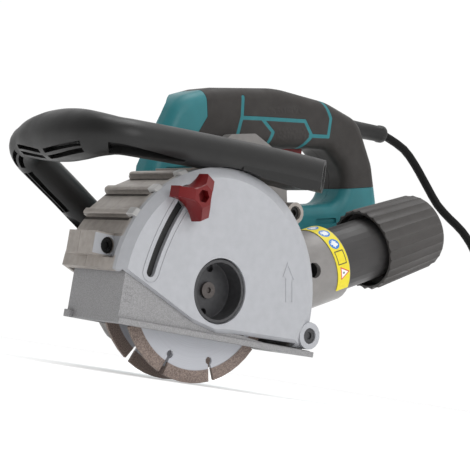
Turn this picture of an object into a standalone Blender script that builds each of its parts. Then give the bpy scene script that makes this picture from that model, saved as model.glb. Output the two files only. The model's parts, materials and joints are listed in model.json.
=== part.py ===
"""Wall chaser with two 125 mm diamond blades: one object for each sub-part, in metres, +Z up."""

import math

import bmesh
import bpy
from mathutils import Matrix, Vector

# ---- driving dimensions, in millimetres unless a comment says otherwise ----------------------------
MM = 0.001                      # metres in a millimetre
GAP = 0.3                       # clearance between neighbouring pieces

# Where the blade axis stands: X is rearwards, Y away from the blade cover, Z up from the base plate.
AXIS_X = -56.6                  # blade axis from the middle of the whole tool
AXIS_Y = -70.0                  # outer face of the blade cover from the middle of the whole tool
BLADE_R = 62.5                  # blade radius, which is also the height of the axis over the floor
HANDLE_PITCH = 14.5             # degrees that the motor and handles lean back against the base plate

# Blades and their stack, along Y from the outer face of the cover.
BLADE_T = 2.2
FRONT_BLADE_Y = 20.3
REAR_BLADE_Y = 45.0
SEGMENTS = 9
SEGMENT_H = 8.5
BLADE_BORE_R = 11.1
KEYHOLE_R = 2.7
KEYHOLE_AT = 48.5
FLANGE_R = 21.0
PIN_PITCH = 30.0

# Guard: the rim is a circle about a point just behind the spindle.
GUARD_X = 4.0
GUARD_Z = -3.0
GUARD_R = 85.0
FACE_X = 0.5
FACE_Z = -2.0
FACE_R = 76.5
RIM_Y = 6.0                     # where the chamfer of the cover meets the rim
RIB_Y = 12.0                    # where the ribs begin
SPLIT_Y = 41.0                  # joint between the two guard halves
GUARD_DEPTH = 67.0
WALL = 3.0
HUB_R = 21.8
PIVOT_X = 86.8
PIVOT_Z = -17.7
EAR_R = 9.5
SLOT_R = 146.2                  # depth slot about the pivot
SLOT_W = 6.4
SLOT_FROM = 150.0               # degrees, upper end, where the stud rests at full depth
SLOT_TO = 171.9                 # degrees, lower end

# Shroud with the base plate.
PLATE_Z = -32.1
PLATE_T = 4.3
PLATE_FRONT = -74.8
PLATE_REAR = 92.0
PLATE_NEAR = 3.3
PLATE_FAR = 61.0
SHROUD_T = 2.0

# Gears: the motor axis lies above and behind the spindle, in the leaning frame.
MOTOR_X = 38.0
MOTOR_Z = 22.0
PINION_TEETH = 9
GEAR_TEETH = 33
GEAR_Y = 70.6
GEAR_W = 7.0

# Gear housing and motor, along Y.
HOUSING_Y = GUARD_DEPTH + GAP
HOUSING_END = 81.7
BRACKET_END = 85.7
MOTOR_R = 43.0
MOTOR_WALL = 3.0
MOTOR_END = 146.0
CAP_END = 158.0

# D-handle, in the leaning frame.
HANDLE_Y = 106.0
HANDLE_HALF = 20.0
HANDLE_EDGE = 9.0               # rounding of its long edges
RUBBER_T = 1.9

# Dust port, about an axis that rises rearwards in the plane Y = PORT_Y.
PORT_Y = 35.0
PORT_PITCH = 24.1               # degrees
PORT_RIM = (157.8, 54.7)        # where the axis meets the near rim of the adapter
COLLAR_R = 28.0
TUBE_R = 23.5
ADAPTER_R0 = 31.0
ADAPTER_R1 = 29.0
ADAPTER_L = 62.0

# Power cord.
CORD_D = 7.0
BOOT_L = 36.0
COIL_RADII = (48.0, 40.8, 33.6) # columns of turns, wound from the outside in
COIL_TURNS = 2                  # turns in each column
COIL_PITCH = 7.2                # rise of each turn
FLOOR_Z = -BLADE_R
CORD_ON_FLOOR = FLOOR_Z + CORD_D / 2
PLUG_R = 17.0

CIRCLE = 32                     # sides of a large round piece
SMALL_CIRCLE = 16
FINE_CIRCLE = 64                # sides of the largest visible rounds


# ---- scene, frames and materials -------------------------------------------------------------------
def clear_scene():
    for old in list(bpy.data.objects):
        bpy.data.objects.remove(old, do_unlink=True)


def empty(name, parent=None, location=(0, 0, 0), pitch=0.0):
    frame = bpy.data.objects.new(name, None)
    frame.parent = parent
    frame.location = Vector(location) * MM
    frame.rotation_euler = (0, -math.radians(pitch), 0)
    bpy.context.collection.objects.link(frame)
    return frame


def material(name, colour, roughness, metallic=0.0):
    made = bpy.data.materials.new(name)
    made.use_nodes = True
    shader = made.node_tree.nodes["Principled BSDF"]
    shader.inputs["Base Color"].default_value = (*colour, 1.0)
    shader.inputs["Roughness"].default_value = roughness
    shader.inputs["Metallic"].default_value = metallic
    made.diffuse_color = (*colour, 1.0)
    return made


clear_scene()
TOOL = empty("tool_frame", None, (AXIS_X, AXIS_Y, BLADE_R))
BODY = empty("body_frame", TOOL, (0, 0, 0), HANDLE_PITCH)
PORT = empty("port_frame", TOOL, (PORT_RIM[0], PORT_Y, PORT_RIM[1]), PORT_PITCH)

CAST = material("cast_aluminium", (0.52, 0.53, 0.55), 0.45, 0.6)
RAW_CAST = material("raw_casting", (0.36, 0.36, 0.36), 0.55, 0.6)
STEEL = material("bright_steel", (0.50, 0.50, 0.50), 0.30, 1.0)
DARK_STEEL = material("black_steel", (0.035, 0.035, 0.037), 0.45, 0.7)
BLADE_STEEL = material("blade_steel", (0.58, 0.59, 0.60), 0.35, 0.8)
TEAL = material("teal_plastic", (0.045, 0.205, 0.222), 0.45)
BLACK = material("black_plastic", (0.028, 0.027, 0.026), 0.42)
RUBBER = material("black_rubber", (0.045, 0.043, 0.040), 0.75)
RED = material("red_plastic", (0.36, 0.016, 0.020), 0.40)
YELLOW = material("yellow_label", (0.75, 0.60, 0.01), 0.50)
COPPER = material("copper", (0.72, 0.33, 0.16), 0.35, 1.0)
LAMINATE = material("laminated_steel", (0.22, 0.22, 0.23), 0.50, 0.9)
CARBON = material("carbon", (0.03, 0.03, 0.03), 0.60)


# ---- outlines, as lists of (x, z) ------------------------------------------------------------------
def arc(x, z, r, start, end, steps):
    """Points on a circle from one angle to another, in degrees."""
    turn = math.radians(end - start) / steps
    first = math.radians(start)
    return [(x + r * math.cos(first + k * turn), z + r * math.sin(first + k * turn))
            for k in range(steps + 1)]


def circle(x, z, r, steps=CIRCLE):
    return arc(x, z, r, 0, 360, steps)[:-1]


def rounded(corners, steps=6):
    """Outline through (x, z, radius) corners, each one filleted to its radius."""
    points = []
    for k, (x, z, r) in enumerate(corners):
        here = Vector((x, z))
        before = (Vector(corners[k - 1][:2]) - here).normalized()
        after = (Vector(corners[(k + 1) % len(corners)][:2]) - here).normalized()
        half = before.angle(after) / 2
        if r <= 0:
            points.append((x, z))
            continue
        centre = here + (before + after).normalized() * (r / math.sin(half))
        reach = r / math.tan(half)
        spoke = here + before * reach - centre
        sweep = spoke.angle_signed(here + after * reach - centre)
        for step in range(steps + 1):
            turned = Matrix.Rotation(-sweep * step / steps, 2) @ spoke
            points.append(tuple(centre + turned))
    return points


def offset(outline, distance):
    """The outline moved to its left by a distance: inwards for one that runs anticlockwise."""
    moved = []
    count = len(outline)
    for k in range(count):
        here = Vector(outline[k])
        into = (here - Vector(outline[k - 1])).normalized()
        out = (Vector(outline[(k + 1) % count]) - here).normalized()
        normal = Vector((-(into + out).y, (into + out).x)).normalized()
        lean = max(0.3, normal.dot(Vector((-into.y, into.x))))
        moved.append(tuple(here + normal * (distance / lean)))
    return moved


def gear_outline(x, z, teeth, pitch_r, phase):
    """Straight-sided teeth, thin enough to turn freely in mesh."""
    module = 2 * pitch_r / teeth
    tip = pitch_r + 0.72 * module
    root = pitch_r - 0.98 * module
    points = []
    for k in range(teeth):
        middle = phase + 360.0 * k / teeth
        step = 360.0 / teeth
        for share, r in ((-0.30, root), (-0.11, tip), (0.11, tip), (0.30, root)):
            angle = math.radians(middle + share * step)
            points.append((x + r * math.cos(angle), z + r * math.sin(angle)))
    return points


# ---- solids ----------------------------------------------------------------------------------------
def add_object(name, mesh_data, finish, parent=TOOL, at=(0, 0, 0), smooth=40):
    """A bmesh built in millimetres about `at` becomes an object in metres."""
    bmesh.ops.scale(mesh_data, vec=(MM, MM, MM), verts=mesh_data.verts)
    bmesh.ops.recalc_face_normals(mesh_data, faces=mesh_data.faces)
    mesh = bpy.data.meshes.new(name)
    mesh_data.to_mesh(mesh)
    mesh_data.free()
    mesh.materials.append(finish)
    mesh.shade_smooth()
    mesh.set_sharp_from_angle(angle=math.radians(smooth))
    made = bpy.data.objects.new(name, mesh)
    made.parent = parent
    made.location = Vector(at) * MM
    bpy.context.collection.objects.link(made)
    return made


def skin(mesh_data, rings, closed=False):
    """Quads between successive rings of the same number of vertices."""
    pairs = list(zip(rings, rings[1:]))
    if closed:
        pairs.append((rings[-1], rings[0]))
    for low, high in pairs:
        count = len(low)
        for k in range(count):
            mesh_data.faces.new((low[k], low[(k + 1) % count], high[(k + 1) % count], high[k]))


def loft(name, rings, finish, parent=TOOL, at=(0, 0, 0), smooth=40):
    """A closed solid through rings of points, capped at both ends."""
    mesh_data = bmesh.new()
    origin = Vector(at)
    made = [[mesh_data.verts.new(Vector(p) - origin) for p in ring] for ring in rings]
    skin(mesh_data, made)
    mesh_data.faces.new(made[0])
    mesh_data.faces.new(list(reversed(made[-1])))
    return add_object(name, mesh_data, finish, parent, at, smooth)


def prism(name, outline, y0, y1, finish, parent=TOOL, at=(0, 0, 0), smooth=40):
    """An (x, z) outline extruded along Y."""
    rings = [[(x, y, z) for x, z in outline] for y in (y0, y1)]
    return loft(name, rings, finish, parent, at, smooth)


def turned(name, profile, finish, parent=TOOL, at=(0, 0, 0), axis="Y", steps=CIRCLE, smooth=40):
    """A closed (radius, height) profile turned about an axis through `at`."""
    mesh_data = bmesh.new()
    rings = []
    for r, h in profile:
        if r == 0:
            rings.append([mesh_data.verts.new(axis_point(0, h, 0, axis))])
        else:
            rings.append([mesh_data.verts.new(axis_point(r, h, math.tau * k / steps, axis))
                          for k in range(steps)])
    for low, high in zip(rings, rings[1:] + rings[:1]):
        for k in range(steps):
            turn_face(mesh_data, low, high, k, (k + 1) % steps)
    return add_object(name, mesh_data, finish, parent, at, smooth)


def turn_face(mesh_data, low, high, k, after):
    if len(low) == 1 and len(high) == 1:
        return
    if len(low) == 1:
        mesh_data.faces.new((low[0], high[after], high[k]))
    elif len(high) == 1:
        mesh_data.faces.new((low[k], low[after], high[0]))
    else:
        mesh_data.faces.new((low[k], low[after], high[after], high[k]))


def axis_point(r, h, angle, axis):
    across, up = r * math.cos(angle), r * math.sin(angle)
    return {"X": (h, across, up), "Y": (across, h, up), "Z": (across, up, h)}[axis]


def ring(name, r_in, r_out, y0, y1, finish, parent=TOOL, at=(0, 0, 0), steps=CIRCLE):
    profile = [(r_in, y0), (r_out, y0), (r_out, y1), (r_in, y1)]
    return turned(name, profile, finish, parent, at, "Y", steps)


def soft_prism(name, outline, hole, y0, y1, edge0, edge1, finish, parent=TOOL):
    """An extruded outline with a hole, its rims rounded by edge0 at y0 and edge1 at y1."""
    layers = [(y0 + e, i) for e, i in round_steps(edge0)] if edge0 else [(y0, 0)]
    layers += [(y1 - e, i) for e, i in reversed(round_steps(edge1))] if edge1 else [(y1, 0)]
    mesh_data = bmesh.new()
    loops = []
    for path, sign in ((outline, 1), (hole, -1)):
        loops.append([[mesh_data.verts.new((x, y, z)) for x, z in offset(path, sign * inset)]
                      for y, inset in layers])
        skin(mesh_data, loops[-1])
    for end in (0, -1):
        rims = [loop[end] for loop in loops]
        edges = [mesh_data.edges.get((r[k], r[k - 1])) for r in rims for k in range(len(r))]
        bmesh.ops.triangle_fill(mesh_data, use_beauty=True, edges=edges)
    return add_object(name, mesh_data, finish, parent)


def round_steps(edge, steps=2):
    """(height, inset) pairs of a quarter-round rim."""
    angles = [math.pi / 2 * k / steps for k in range(steps + 1)]
    return [(edge * (1 - math.cos(a)), edge * (1 - math.sin(a))) for a in angles]


# ---- booleans and bevels ---------------------------------------------------------------------------
def as_cutter(tool):
    tool.hide_render = True
    tool.display_type = "WIRE"
    return tool


def combine(target, operation, *tools):
    for tool in tools:
        step = target.modifiers.new(operation.lower(), "BOOLEAN")
        step.operation = operation
        step.solver = "EXACT"
        step.object = as_cutter(tool)
    return target


def cut(target, *tools):
    return combine(target, "DIFFERENCE", *tools)


def fuse(target, *tools):
    return combine(target, "UNION", *tools)


def keep(target, *tools):
    return combine(target, "INTERSECT", *tools)


def soften(target, width, segments=2, angle=35):
    step = target.modifiers.new("bevel", "BEVEL")
    step.width = width * MM
    step.segments = segments
    step.limit_method = "ANGLE"
    step.angle_limit = math.radians(angle)
    step.use_clamp_overlap = True
    return target


def weld(target):
    """Joins the corners that a cut leaves closer than the tools can tell apart."""
    step = target.modifiers.new("weld", "WELD")
    step.merge_threshold = 0.00005
    return target


def cutter(name, outline, y0, y1, parent=TOOL):
    return prism(name, outline, y0, y1, CAST, parent)


def bore(name, x, z, r, y0, y1, parent=TOOL, steps=SMALL_CIRCLE):
    return prism(name, circle(x, z, r, steps), y0, y1, CAST, parent)


def block(x0, x1, z0, z1):
    return [(x0, z0), (x1, z0), (x1, z1), (x0, z1)]


# ---- guard -----------------------------------------------------------------------------------------
RIB_ANGLES = (106.0, 121.7, 136.8, 152.1, 166.0)
DIP_R = 82.4                    # foot of each rib step
CAVITY_R = 78.5
CAVITY_FRONT = -77.6
BOSS = (-88.0, -70.0, 8.5, 23.5)
BOSS_NEAR = 23.0
BOSS_FAR = 54.0
BOSS_HOLE = (-77.7, 15.8)
REAR_BOSS = (65.5, 65.0)       # lug outside the rim
REAR_BOSS_NEAR = 12.0
NEAR_CUT = SPLIT_Y - GAP / 2
FAR_CUT = SPLIT_Y + GAP / 2


def guard_outline(x, z, r, start, end, low_front, low_rear):
    """Rim arc, then the slanted front edge, the hub hump and the lower edge."""
    corners = [(*low_front, 10), (low_front[0] + 20, low_front[1] - 4.2, 8),
               (low_rear[0] - 60, low_rear[1] - 1.2, 6)]
    hump = []
    lead = [arc(x, z, r, end, end, 1)[0] + (0,)]
    for point in rounded(lead + corners + [(*low_rear, 0)], 4)[1:-1]:
        hump.append(point)
    return arc(x, z, r, start, end, 40) + hump + [low_rear]


def face_outline():
    return guard_outline(FACE_X, FACE_Z, FACE_R, -7, 177, (-20.0, -20.6), (72.0, -22.1))


def rim_outline():
    return guard_outline(GUARD_X, GUARD_Z, GUARD_R, -3, 177.2, (-12.0, -25.4), (85.0, -26.9))


def guard_cavity():
    """Open downwards; its rear wall stands in front of the pivot."""
    return arc(GUARD_X, GUARD_Z, CAVITY_R, -4, 180, 40) + [(-74.5, -60), (76, -60), (76, -8)]


def rib_cutters(tag):
    """The band under each rib leans inwards to a step."""
    made = []
    for k, (upper, lower) in enumerate(zip(RIB_ANGLES, RIB_ANGLES[1:])):
        inner = arc(GUARD_X, GUARD_Z, DIP_R, upper, upper, 1)[:1]
        outer = arc(GUARD_X, GUARD_Z, GUARD_R + 0.4, lower - 0.6, lower - 0.6, 1)[:1]
        far = arc(GUARD_X, GUARD_Z, GUARD_R + 12, lower - 0.6, upper, 1)
        made.append(cutter(f"{tag}_band_{k}", inner + far[::-1] + outer, RIB_Y, GUARD_DEPTH + 5))
    return made


def port_cutter(tag, r):
    return turned(f"{tag}_port", [(0, -130), (r, -130), (r, -66), (0, -66)], CAST, PORT, (0, 0, 0), "X")


def slot_band(half_width, start=SLOT_FROM, end=SLOT_TO):
    """Slot about the pivot with round ends."""
    outer = arc(PIVOT_X, PIVOT_Z, SLOT_R + half_width, start, end, 12)
    inner = arc(PIVOT_X, PIVOT_Z, SLOT_R - half_width, end, start, 12)
    low = arc(PIVOT_X, PIVOT_Z, SLOT_R, end, end, 1)[0]
    high = arc(PIVOT_X, PIVOT_Z, SLOT_R, start, start, 1)[0]
    low_end = arc(*low, half_width, end, end + 180, 8)[1:-1]
    high_end = arc(*high, half_width, start + 180, start + 360, 8)[1:-1]
    return outer + low_end + inner + high_end


def make_guard_cover():
    rings = [[(x, y, z) for x, z in path]
             for y, path in ((0, face_outline()), (RIM_Y, rim_outline()), (NEAR_CUT, rim_outline()))]
    cover = loft("guard_cover", rings, CAST, smooth=25)
    fuse(cover, bore("cover_ear", PIVOT_X, PIVOT_Z, EAR_R, 1.5, 12))
    fuse(cover, rear_lug("cover_lug", REAR_BOSS_NEAR, NEAR_CUT))
    cut(cover, *rib_cutters("cover"))
    cut(cover, cutter("cover_cavity", guard_cavity(), WALL, GUARD_DEPTH))
    cut(cover, cutter("cover_front", block(CAVITY_FRONT, -60, -60, 8.2), WALL, GUARD_DEPTH))
    cut(cover, cutter("cover_pivot", block(74, 110, -60, -7.9), 12, GUARD_DEPTH))
    fuse(cover, cutter("cover_boss", block(*BOSS), BOSS_NEAR, NEAR_CUT))
    cut(cover, cutter("cover_notch", block(-95, -73.8, 8.0, 24.0), 11, BOSS_NEAR))
    cut(cover, bore("boss_recess", *BOSS_HOLE, 5.5, BOSS_NEAR - 1, BOSS_NEAR + 8))
    cut(cover, bore("boss_bore", *BOSS_HOLE, 3.2, BOSS_NEAR + 7, NEAR_CUT + 1))
    cut(cover, bore("rear_recess", *REAR_BOSS, 5.0, 8, 20))
    cut(cover, bore("rear_bore", *REAR_BOSS, 3.2, 19, NEAR_CUT + 1))
    cut(cover, bore("hub_hole", 0, 0, HUB_R, -1, WALL + 1, steps=FINE_CIRCLE))
    cut(cover, bore("ear_recess", PIVOT_X, PIVOT_Z, 5.6, 0, 6),
        bore("ear_bore", PIVOT_X, PIVOT_Z, 4.3, 0, 14))
    cut(cover, cutter("depth_slot", slot_band(SLOT_W / 2), -1, WALL + 1))
    cut(cover, groove("slot_groove", slot_band(6.6), slot_band(6.1), 0.4))
    cut(cover, port_cutter("cover", 22.0))
    cut(cover, turned("cover_foot_bore", [(0, 60), (3.2, 60), (3.2, 90), (0, 90)], CAST, at=(8, 11, 0),
                      axis="Z",
                      steps=SMALL_CIRCLE))
    return cover


def rear_lug(name, y0, y1):
    """Round lug for a screw outside the rim, with a web down to it."""
    x, z = REAR_BOSS
    across = Vector((z - GUARD_Z, GUARD_X - x)).normalized() * 7.4
    into = Vector((GUARD_X - x, GUARD_Z - z)).normalized() * 11
    low, high = (x - across.x, z - across.y), (x + across.x, z + across.y)
    web = [low, high, (high[0] + into.x, high[1] + into.y), (low[0] + into.x, low[1] + into.y)]
    return fuse(bore(f"{name}_eye", x, z, 7.6, y0, y1), cutter(f"{name}_web", web, y0, y1))


def groove(name, outline, hole, depth):
    return soft_prism(name, outline, hole, -1, depth, 0, 0, CAST)


def make_guard_back():
    back = prism("guard_back", rim_outline(), FAR_CUT, GUARD_DEPTH, CAST, smooth=25)
    fuse(back, bore("back_ear", PIVOT_X, PIVOT_Z, EAR_R, 57, GUARD_DEPTH))
    fuse(back, rear_lug("back_lug", FAR_CUT, 58))
    cut(back, *rib_cutters("back"))
    cut(back, cutter("back_cavity", guard_cavity(), 0, GUARD_DEPTH - WALL))
    cut(back, cutter("back_front", block(CAVITY_FRONT, -60, -60, 8.2), 0, GUARD_DEPTH - WALL))
    cut(back, cutter("back_pivot", block(74, 110, -60, -7.9), 0, 57))
    fuse(back, cutter("back_boss", block(*BOSS), FAR_CUT, BOSS_FAR))
    cut(back, bore("back_boss_bore", *BOSS_HOLE, 3.2, 0, BOSS_FAR - 3))
    cut(back, bore("back_rear_bore", *REAR_BOSS, 3.2, 0, 55))
    cut(back, bore("back_spindle_hole", 0, 0, 24.0, 50, GUARD_DEPTH + 1, steps=CIRCLE))
    cut(back, bore("back_ear_bore", PIVOT_X, PIVOT_Z, 4.3, 50, GUARD_DEPTH + 1))
    cut(back, port_cutter("back", 22.0))
    return back


def cap_screw(name, x, z, y0, y1, head_r, head_h, shank_r, parent=TOOL):
    """Socket-head screw along +Y, its head at y0."""
    profile = [(0, head_h * 0.4), (head_r * 0.5, head_h * 0.4), (head_r * 0.5, 0), (head_r, 0),
               (head_r, head_h), (shank_r, head_h), (shank_r, y1 - y0), (0, y1 - y0)]
    return turned(name, profile, DARK_STEEL, parent, (x, y0, z), "Y", SMALL_CIRCLE)


def make_guard_screws():
    cap_screw("guard_screw_front", *BOSS_HOLE, BOSS_NEAR + 2, BOSS_FAR - 4, 5.0, 4.7, 2.9)
    cap_screw("guard_screw_rear", *REAR_BOSS, 14.0, 54, 4.6, 5.2, 2.9)
    cap_screw("pivot_bolt", PIVOT_X, PIVOT_Z, 2.5, GUARD_DEPTH - 1, 5.3, 3.2, 4.0)


# ---- shroud with the base plate, which swings about the pivot bolt ---------------------------------
STUD_ANGLE = SLOT_FROM
STUD_X = PIVOT_X + SLOT_R * math.cos(math.radians(STUD_ANGLE))
STUD_Z = PIVOT_Z + SLOT_R * math.sin(math.radians(STUD_ANGLE))
PLATE_TOP = PLATE_Z + PLATE_T


def shroud_prism(name, outline, y0, y1):
    shifted = [(x - PIVOT_X, z - PIVOT_Z) for x, z in outline]
    return prism(name, shifted, y0, y1, RAW_CAST, SHROUD)


def near_wall_outline():
    return [(PLATE_FRONT, PLATE_TOP - 1), (PIVOT_X - 30, PLATE_TOP - 1), (-14.0, -22.0), (-26.0, 0.0),
            (-30.0, 40.0), (-33.0, 60.5), (-44.0, 56.5), (-59.0, 38.0), (-71.0, 15.0), (PLATE_FRONT, 5.0)]


def far_wall_outline():
    return [(PLATE_FRONT, PLATE_TOP - 1), (PIVOT_X - 14, PLATE_TOP - 1), (PIVOT_X - 14, -24.5),
            (-30.0, -24.5),
            (-38.0, 5.0), (PLATE_FRONT, 5.0)]


def make_shroud():
    foot = rounded([(PLATE_FRONT, PLATE_Z, 0.8), (PLATE_REAR, PLATE_Z, 2), (PLATE_REAR, PLATE_TOP, 2),
                    (PLATE_FRONT, PLATE_TOP, 0)], 3)
    shroud = shroud_prism("depth_shroud", foot, PLATE_NEAR, PLATE_FAR)
    shroud.location = (0, 0, 0)
    front = block(PLATE_FRONT, PLATE_FRONT + SHROUD_T, PLATE_Z + 1, 5.0)
    fuse(shroud, shroud_prism("shroud_front", front, PLATE_NEAR, PLATE_FAR))
    fuse(shroud, shroud_prism("shroud_near", near_wall_outline(), PLATE_NEAR, PLATE_NEAR + SHROUD_T))
    fuse(shroud, shroud_prism("shroud_far", far_wall_outline(), PLATE_FAR - SHROUD_T, PLATE_FAR))
    lug = rounded([(PIVOT_X - 6, PLATE_TOP - 1, 0), (PIVOT_X + 5, PLATE_TOP - 1, 0),
                   (PIVOT_X + 7, PIVOT_Z + 7, 6), (PIVOT_X - 7, PIVOT_Z + 7, 6)], 5)
    fuse(shroud, shroud_prism("shroud_lug", lug, 12.6, 56.6))
    cut(shroud, shroud_prism("shroud_window", block(-66, 66, -60, PLATE_TOP + 1), 12, 57))
    cut(shroud, shroud_prism("shroud_pivot", circle(PIVOT_X, PIVOT_Z, 4.3, SMALL_CIRCLE), 5, 60))
    cut(shroud, shroud_prism("shroud_stud", circle(STUD_X, STUD_Z, 3.2, SMALL_CIRCLE), 0, 10))
    return shroud


def make_clamp():
    at = (STUD_X - PIVOT_X, 0, STUD_Z - PIVOT_Z)
    stud = [(0, -10.0), (2.9, -10.0), (2.9, 5.6), (4.8, 5.6), (4.8, 8.0), (0, 8.0)]
    turned("clamp_stud", stud, STEEL, SHROUD, at, "Y", SMALL_CIRCLE)
    ring("clamp_washer", 3.3, 7.5, -1.8, -GAP, STEEL, SHROUD, at, SMALL_CIRCLE)
    make_knob(at)


def lobed(r_root, r_lobe, steps=48):
    """Three-lobed outline, a lobe towards the front and two towards the rear."""
    points = []
    for k in range(steps):
        angle = math.tau * k / steps
        swell = (0.5 - 0.5 * math.cos(3 * angle)) ** 1.7
        r = r_root + (r_lobe - r_root) * swell
        points.append((r * math.cos(angle), r * math.sin(angle)))
    return points


def make_knob(at):
    layers = ((-2.2, 7.5, 9.0), (-5.0, 8.2, 19.0), (-12.0, 8.0, 18.0), (-17.0, 7.4, 8.0),
              (-18.0, 6.4, 6.6))
    rings = [[(x, y, z) for x, z in lobed(low, high)] for y, low, high in layers]
    knob = loft("depth_knob", rings, RED, SHROUD, smooth=50)
    knob.location = Vector(at) * MM
    cut(knob, prism("knob_hex", circle(at[0], at[2], 4.4, 6), -20, -12.5, RED, SHROUD))
    cut(knob, prism("knob_bore", circle(at[0], at[2], 3.2, SMALL_CIRCLE), -10.4, 0, RED, SHROUD))
    return knob


# ---- blades and their stack ------------------------------------------------------------------------
def blade_outline(phase):
    """Nine rim segments, parted by keyhole slots that flare outwards."""
    points = []
    pitch = 360.0 / SEGMENTS
    mouth = math.degrees(2.1 / BLADE_R)
    throat = math.degrees(1.0 / KEYHOLE_AT)
    for k in range(SEGMENTS):
        slot = phase + k * pitch
        hole = arc(0, 0, KEYHOLE_AT, slot, slot, 1)[0]
        points += arc(0, 0, KEYHOLE_AT + 3.6, slot - throat, slot - throat, 1)[:1]
        points += arc(*hole, KEYHOLE_R, slot - 22, slot - 338, 7)
        points += arc(0, 0, KEYHOLE_AT + 3.6, slot + throat, slot + throat, 1)[:1]
        points += arc(0, 0, BLADE_R, slot + mouth, slot + pitch - mouth, 5)
    return points


def make_blade(name, y, phase):
    """Rim segments of full thickness on a thinner disc."""
    blade = prism(name, blade_outline(phase), 0, BLADE_T, BLADE_STEEL, TOOL, (0, 0, 0))
    blade.location.y = y * MM
    relief = [(BLADE_BORE_R + 6, -1), (BLADE_R - SEGMENT_H, -1), (BLADE_R - SEGMENT_H, 0.2),
              (BLADE_BORE_R + 6, 0.2)]
    for side, (turn, shift) in enumerate(((1, y), (-1, y + BLADE_T))):
        profile = [(r, turn * h) for r, h in relief]
        cut(blade, turned(f"{name}_relief_{side}", profile, BLADE_STEEL, TOOL, (0, shift, 0)))
    cut(blade, bore(f"{name}_bore", 0, 0, BLADE_BORE_R, y - 1, y + BLADE_T + 1, steps=CIRCLE))
    return blade


def make_blade_stack():
    make_blade("front_blade", FRONT_BLADE_Y, -110.3)
    make_blade("rear_blade", REAR_BLADE_Y, -121.0)
    ring("blade_spacer", BLADE_BORE_R, 19.0, FRONT_BLADE_Y + BLADE_T + GAP, REAR_BLADE_Y - GAP, STEEL)
    rear = REAR_BLADE_Y + BLADE_T + GAP
    turned("inner_flange", [(BLADE_BORE_R, rear), (FLANGE_R, rear), (FLANGE_R, rear + 5), (16, rear + 5),
                            (16, 56.5), (BLADE_BORE_R, 56.5)], DARK_STEEL)
    cup = [(3.5, 14.5), (18.9, 14.5), (18.9, 1.0), (FLANGE_R, 1.0), (FLANGE_R, 20.0), (3.5, 20.0)]
    flange = turned("outer_flange", cup, DARK_STEEL)
    for name, z in (("pin_hole_high", PIN_PITCH / 2), ("pin_hole_low", -PIN_PITCH / 2)):
        cut(flange, bore(name, 0, z, KEYHOLE_R, 10, 18))
    screw = [(0, 13.6), (2.0, 13.6), (2.0, 12.2), (5.5, 12.2), (5.5, 14.2), (3.1, 14.2), (3.1, 33.0),
             (0, 33.0)]
    turned("spindle_screw", screw, STEEL, steps=SMALL_CIRCLE)
    spindle = [(3.4, 20.6), (10.8, 20.6), (10.8, 56.5), (8.2, 56.5), (8.2, 77.6), (6.0, 77.6),
               (6.0, 84.4),
               (0, 84.4), (0, 34.0), (3.4, 34.0)]
    turned("spindle", spindle, STEEL)


# ---- gears and bearings ----------------------------------------------------------------------------
CENTRES = math.hypot(MOTOR_X, MOTOR_Z)
PINION_R = CENTRES * PINION_TEETH / (PINION_TEETH + GEAR_TEETH)
GEAR_R = CENTRES - PINION_R
CENTRE_ANGLE = math.degrees(math.atan2(MOTOR_Z, MOTOR_X))


def make_gears():
    gear = prism("spindle_gear", gear_outline(0, 0, GEAR_TEETH, GEAR_R, CENTRE_ANGLE), 0, GEAR_W, STEEL,
                 BODY)
    gear.location.y = GEAR_Y * MM
    cut(gear, bore("gear_bore", 0, 0, 8.5, GEAR_Y - 1, GEAR_Y + GEAR_W + 1, BODY))
    teeth = gear_outline(0, 0, PINION_TEETH, PINION_R, CENTRE_ANGLE + 180 + 180 / PINION_TEETH)
    pinion = prism("motor_pinion", teeth, 0, GEAR_W, STEEL, BODY)
    pinion.location = Vector((MOTOR_X, GEAR_Y, MOTOR_Z)) * MM
    cut(pinion, bore("pinion_bore", MOTOR_X, MOTOR_Z, 4.3, GEAR_Y - 1, GEAR_Y + GEAR_W + 1, BODY))


def make_bearings():
    ring("spindle_bearing_front", 8.5, 16.0, 60.6, 68.6, STEEL)
    ring("spindle_bearing_rear", 6.3, 11.0, 79.0, 84.4, STEEL)
    motor = (MOTOR_X, 0, MOTOR_Z)
    ring("rotor_bearing_front", 6.3, 11.0, 79.0, 85.2, STEEL, BODY, motor)
    ring("rotor_bearing_rear", 4.3, 9.5, 148.0, 154.0, STEEL, BODY, motor)


# ---- gear housing and motor ------------------------------------------------------------------------
def case_outline():
    return rounded([(-30, -38, 14), (34, -30, 20), (80, 0, 20), (84, 44, 18), (52, 66, 18), (-6, 50, 24),
                    (-42, 22, 22), (-44, -14, 20)], 5)


def handle_bracket_outline():
    """Plate with cut corners that carries the handle housing above the gears."""
    return rounded([(20, 40, 0), (60, 20, 0), (108, 20, 6), (127, 40, 4), (127, 84.5, 4), (98, 103.5, 3),
                    (75, 103.5, 6), (30, 70, 10)], 3)


def make_gear_housing():
    housing = prism("gear_housing", case_outline(), HOUSING_Y, HOUSING_END, CAST, BODY)
    fuse(housing, cutter("housing_plate", handle_bracket_outline(), 73.0, HOUSING_END, BODY))
    fuse(housing, bore("housing_nose", 0, 0, 23.6, 60.0, 69.0, BODY, CIRCLE))
    room = turned("gear_room", [(0, 69.6), (38.0, 69.6), (38.0, 90), (0, 90)], CAST, BODY)
    rotor_room = turned("pinion_room", [(0, 69.6), (15, 69.6), (15, 90), (0, 90)], CAST, BODY,
                        (MOTOR_X, 0, MOTOR_Z))
    cut(housing, room, rotor_room)
    cut(housing, bore("front_bearing_seat", 0, 0, 16.3, 50, 75, BODY, 60))
    pocket = rounded([(82, 64, 4), (117, 64, 4), (117, 78, 4), (96, 92, 4), (76, 92, 4)], 3)
    cut(housing, cutter("bracket_pocket", pocket, 60, 77.5, BODY))
    cut(housing, lock_bore())
    return housing


LOCK_AT = (-23.1, 35.2)         # spindle lock button, on the sloping top of the gear housing


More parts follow.
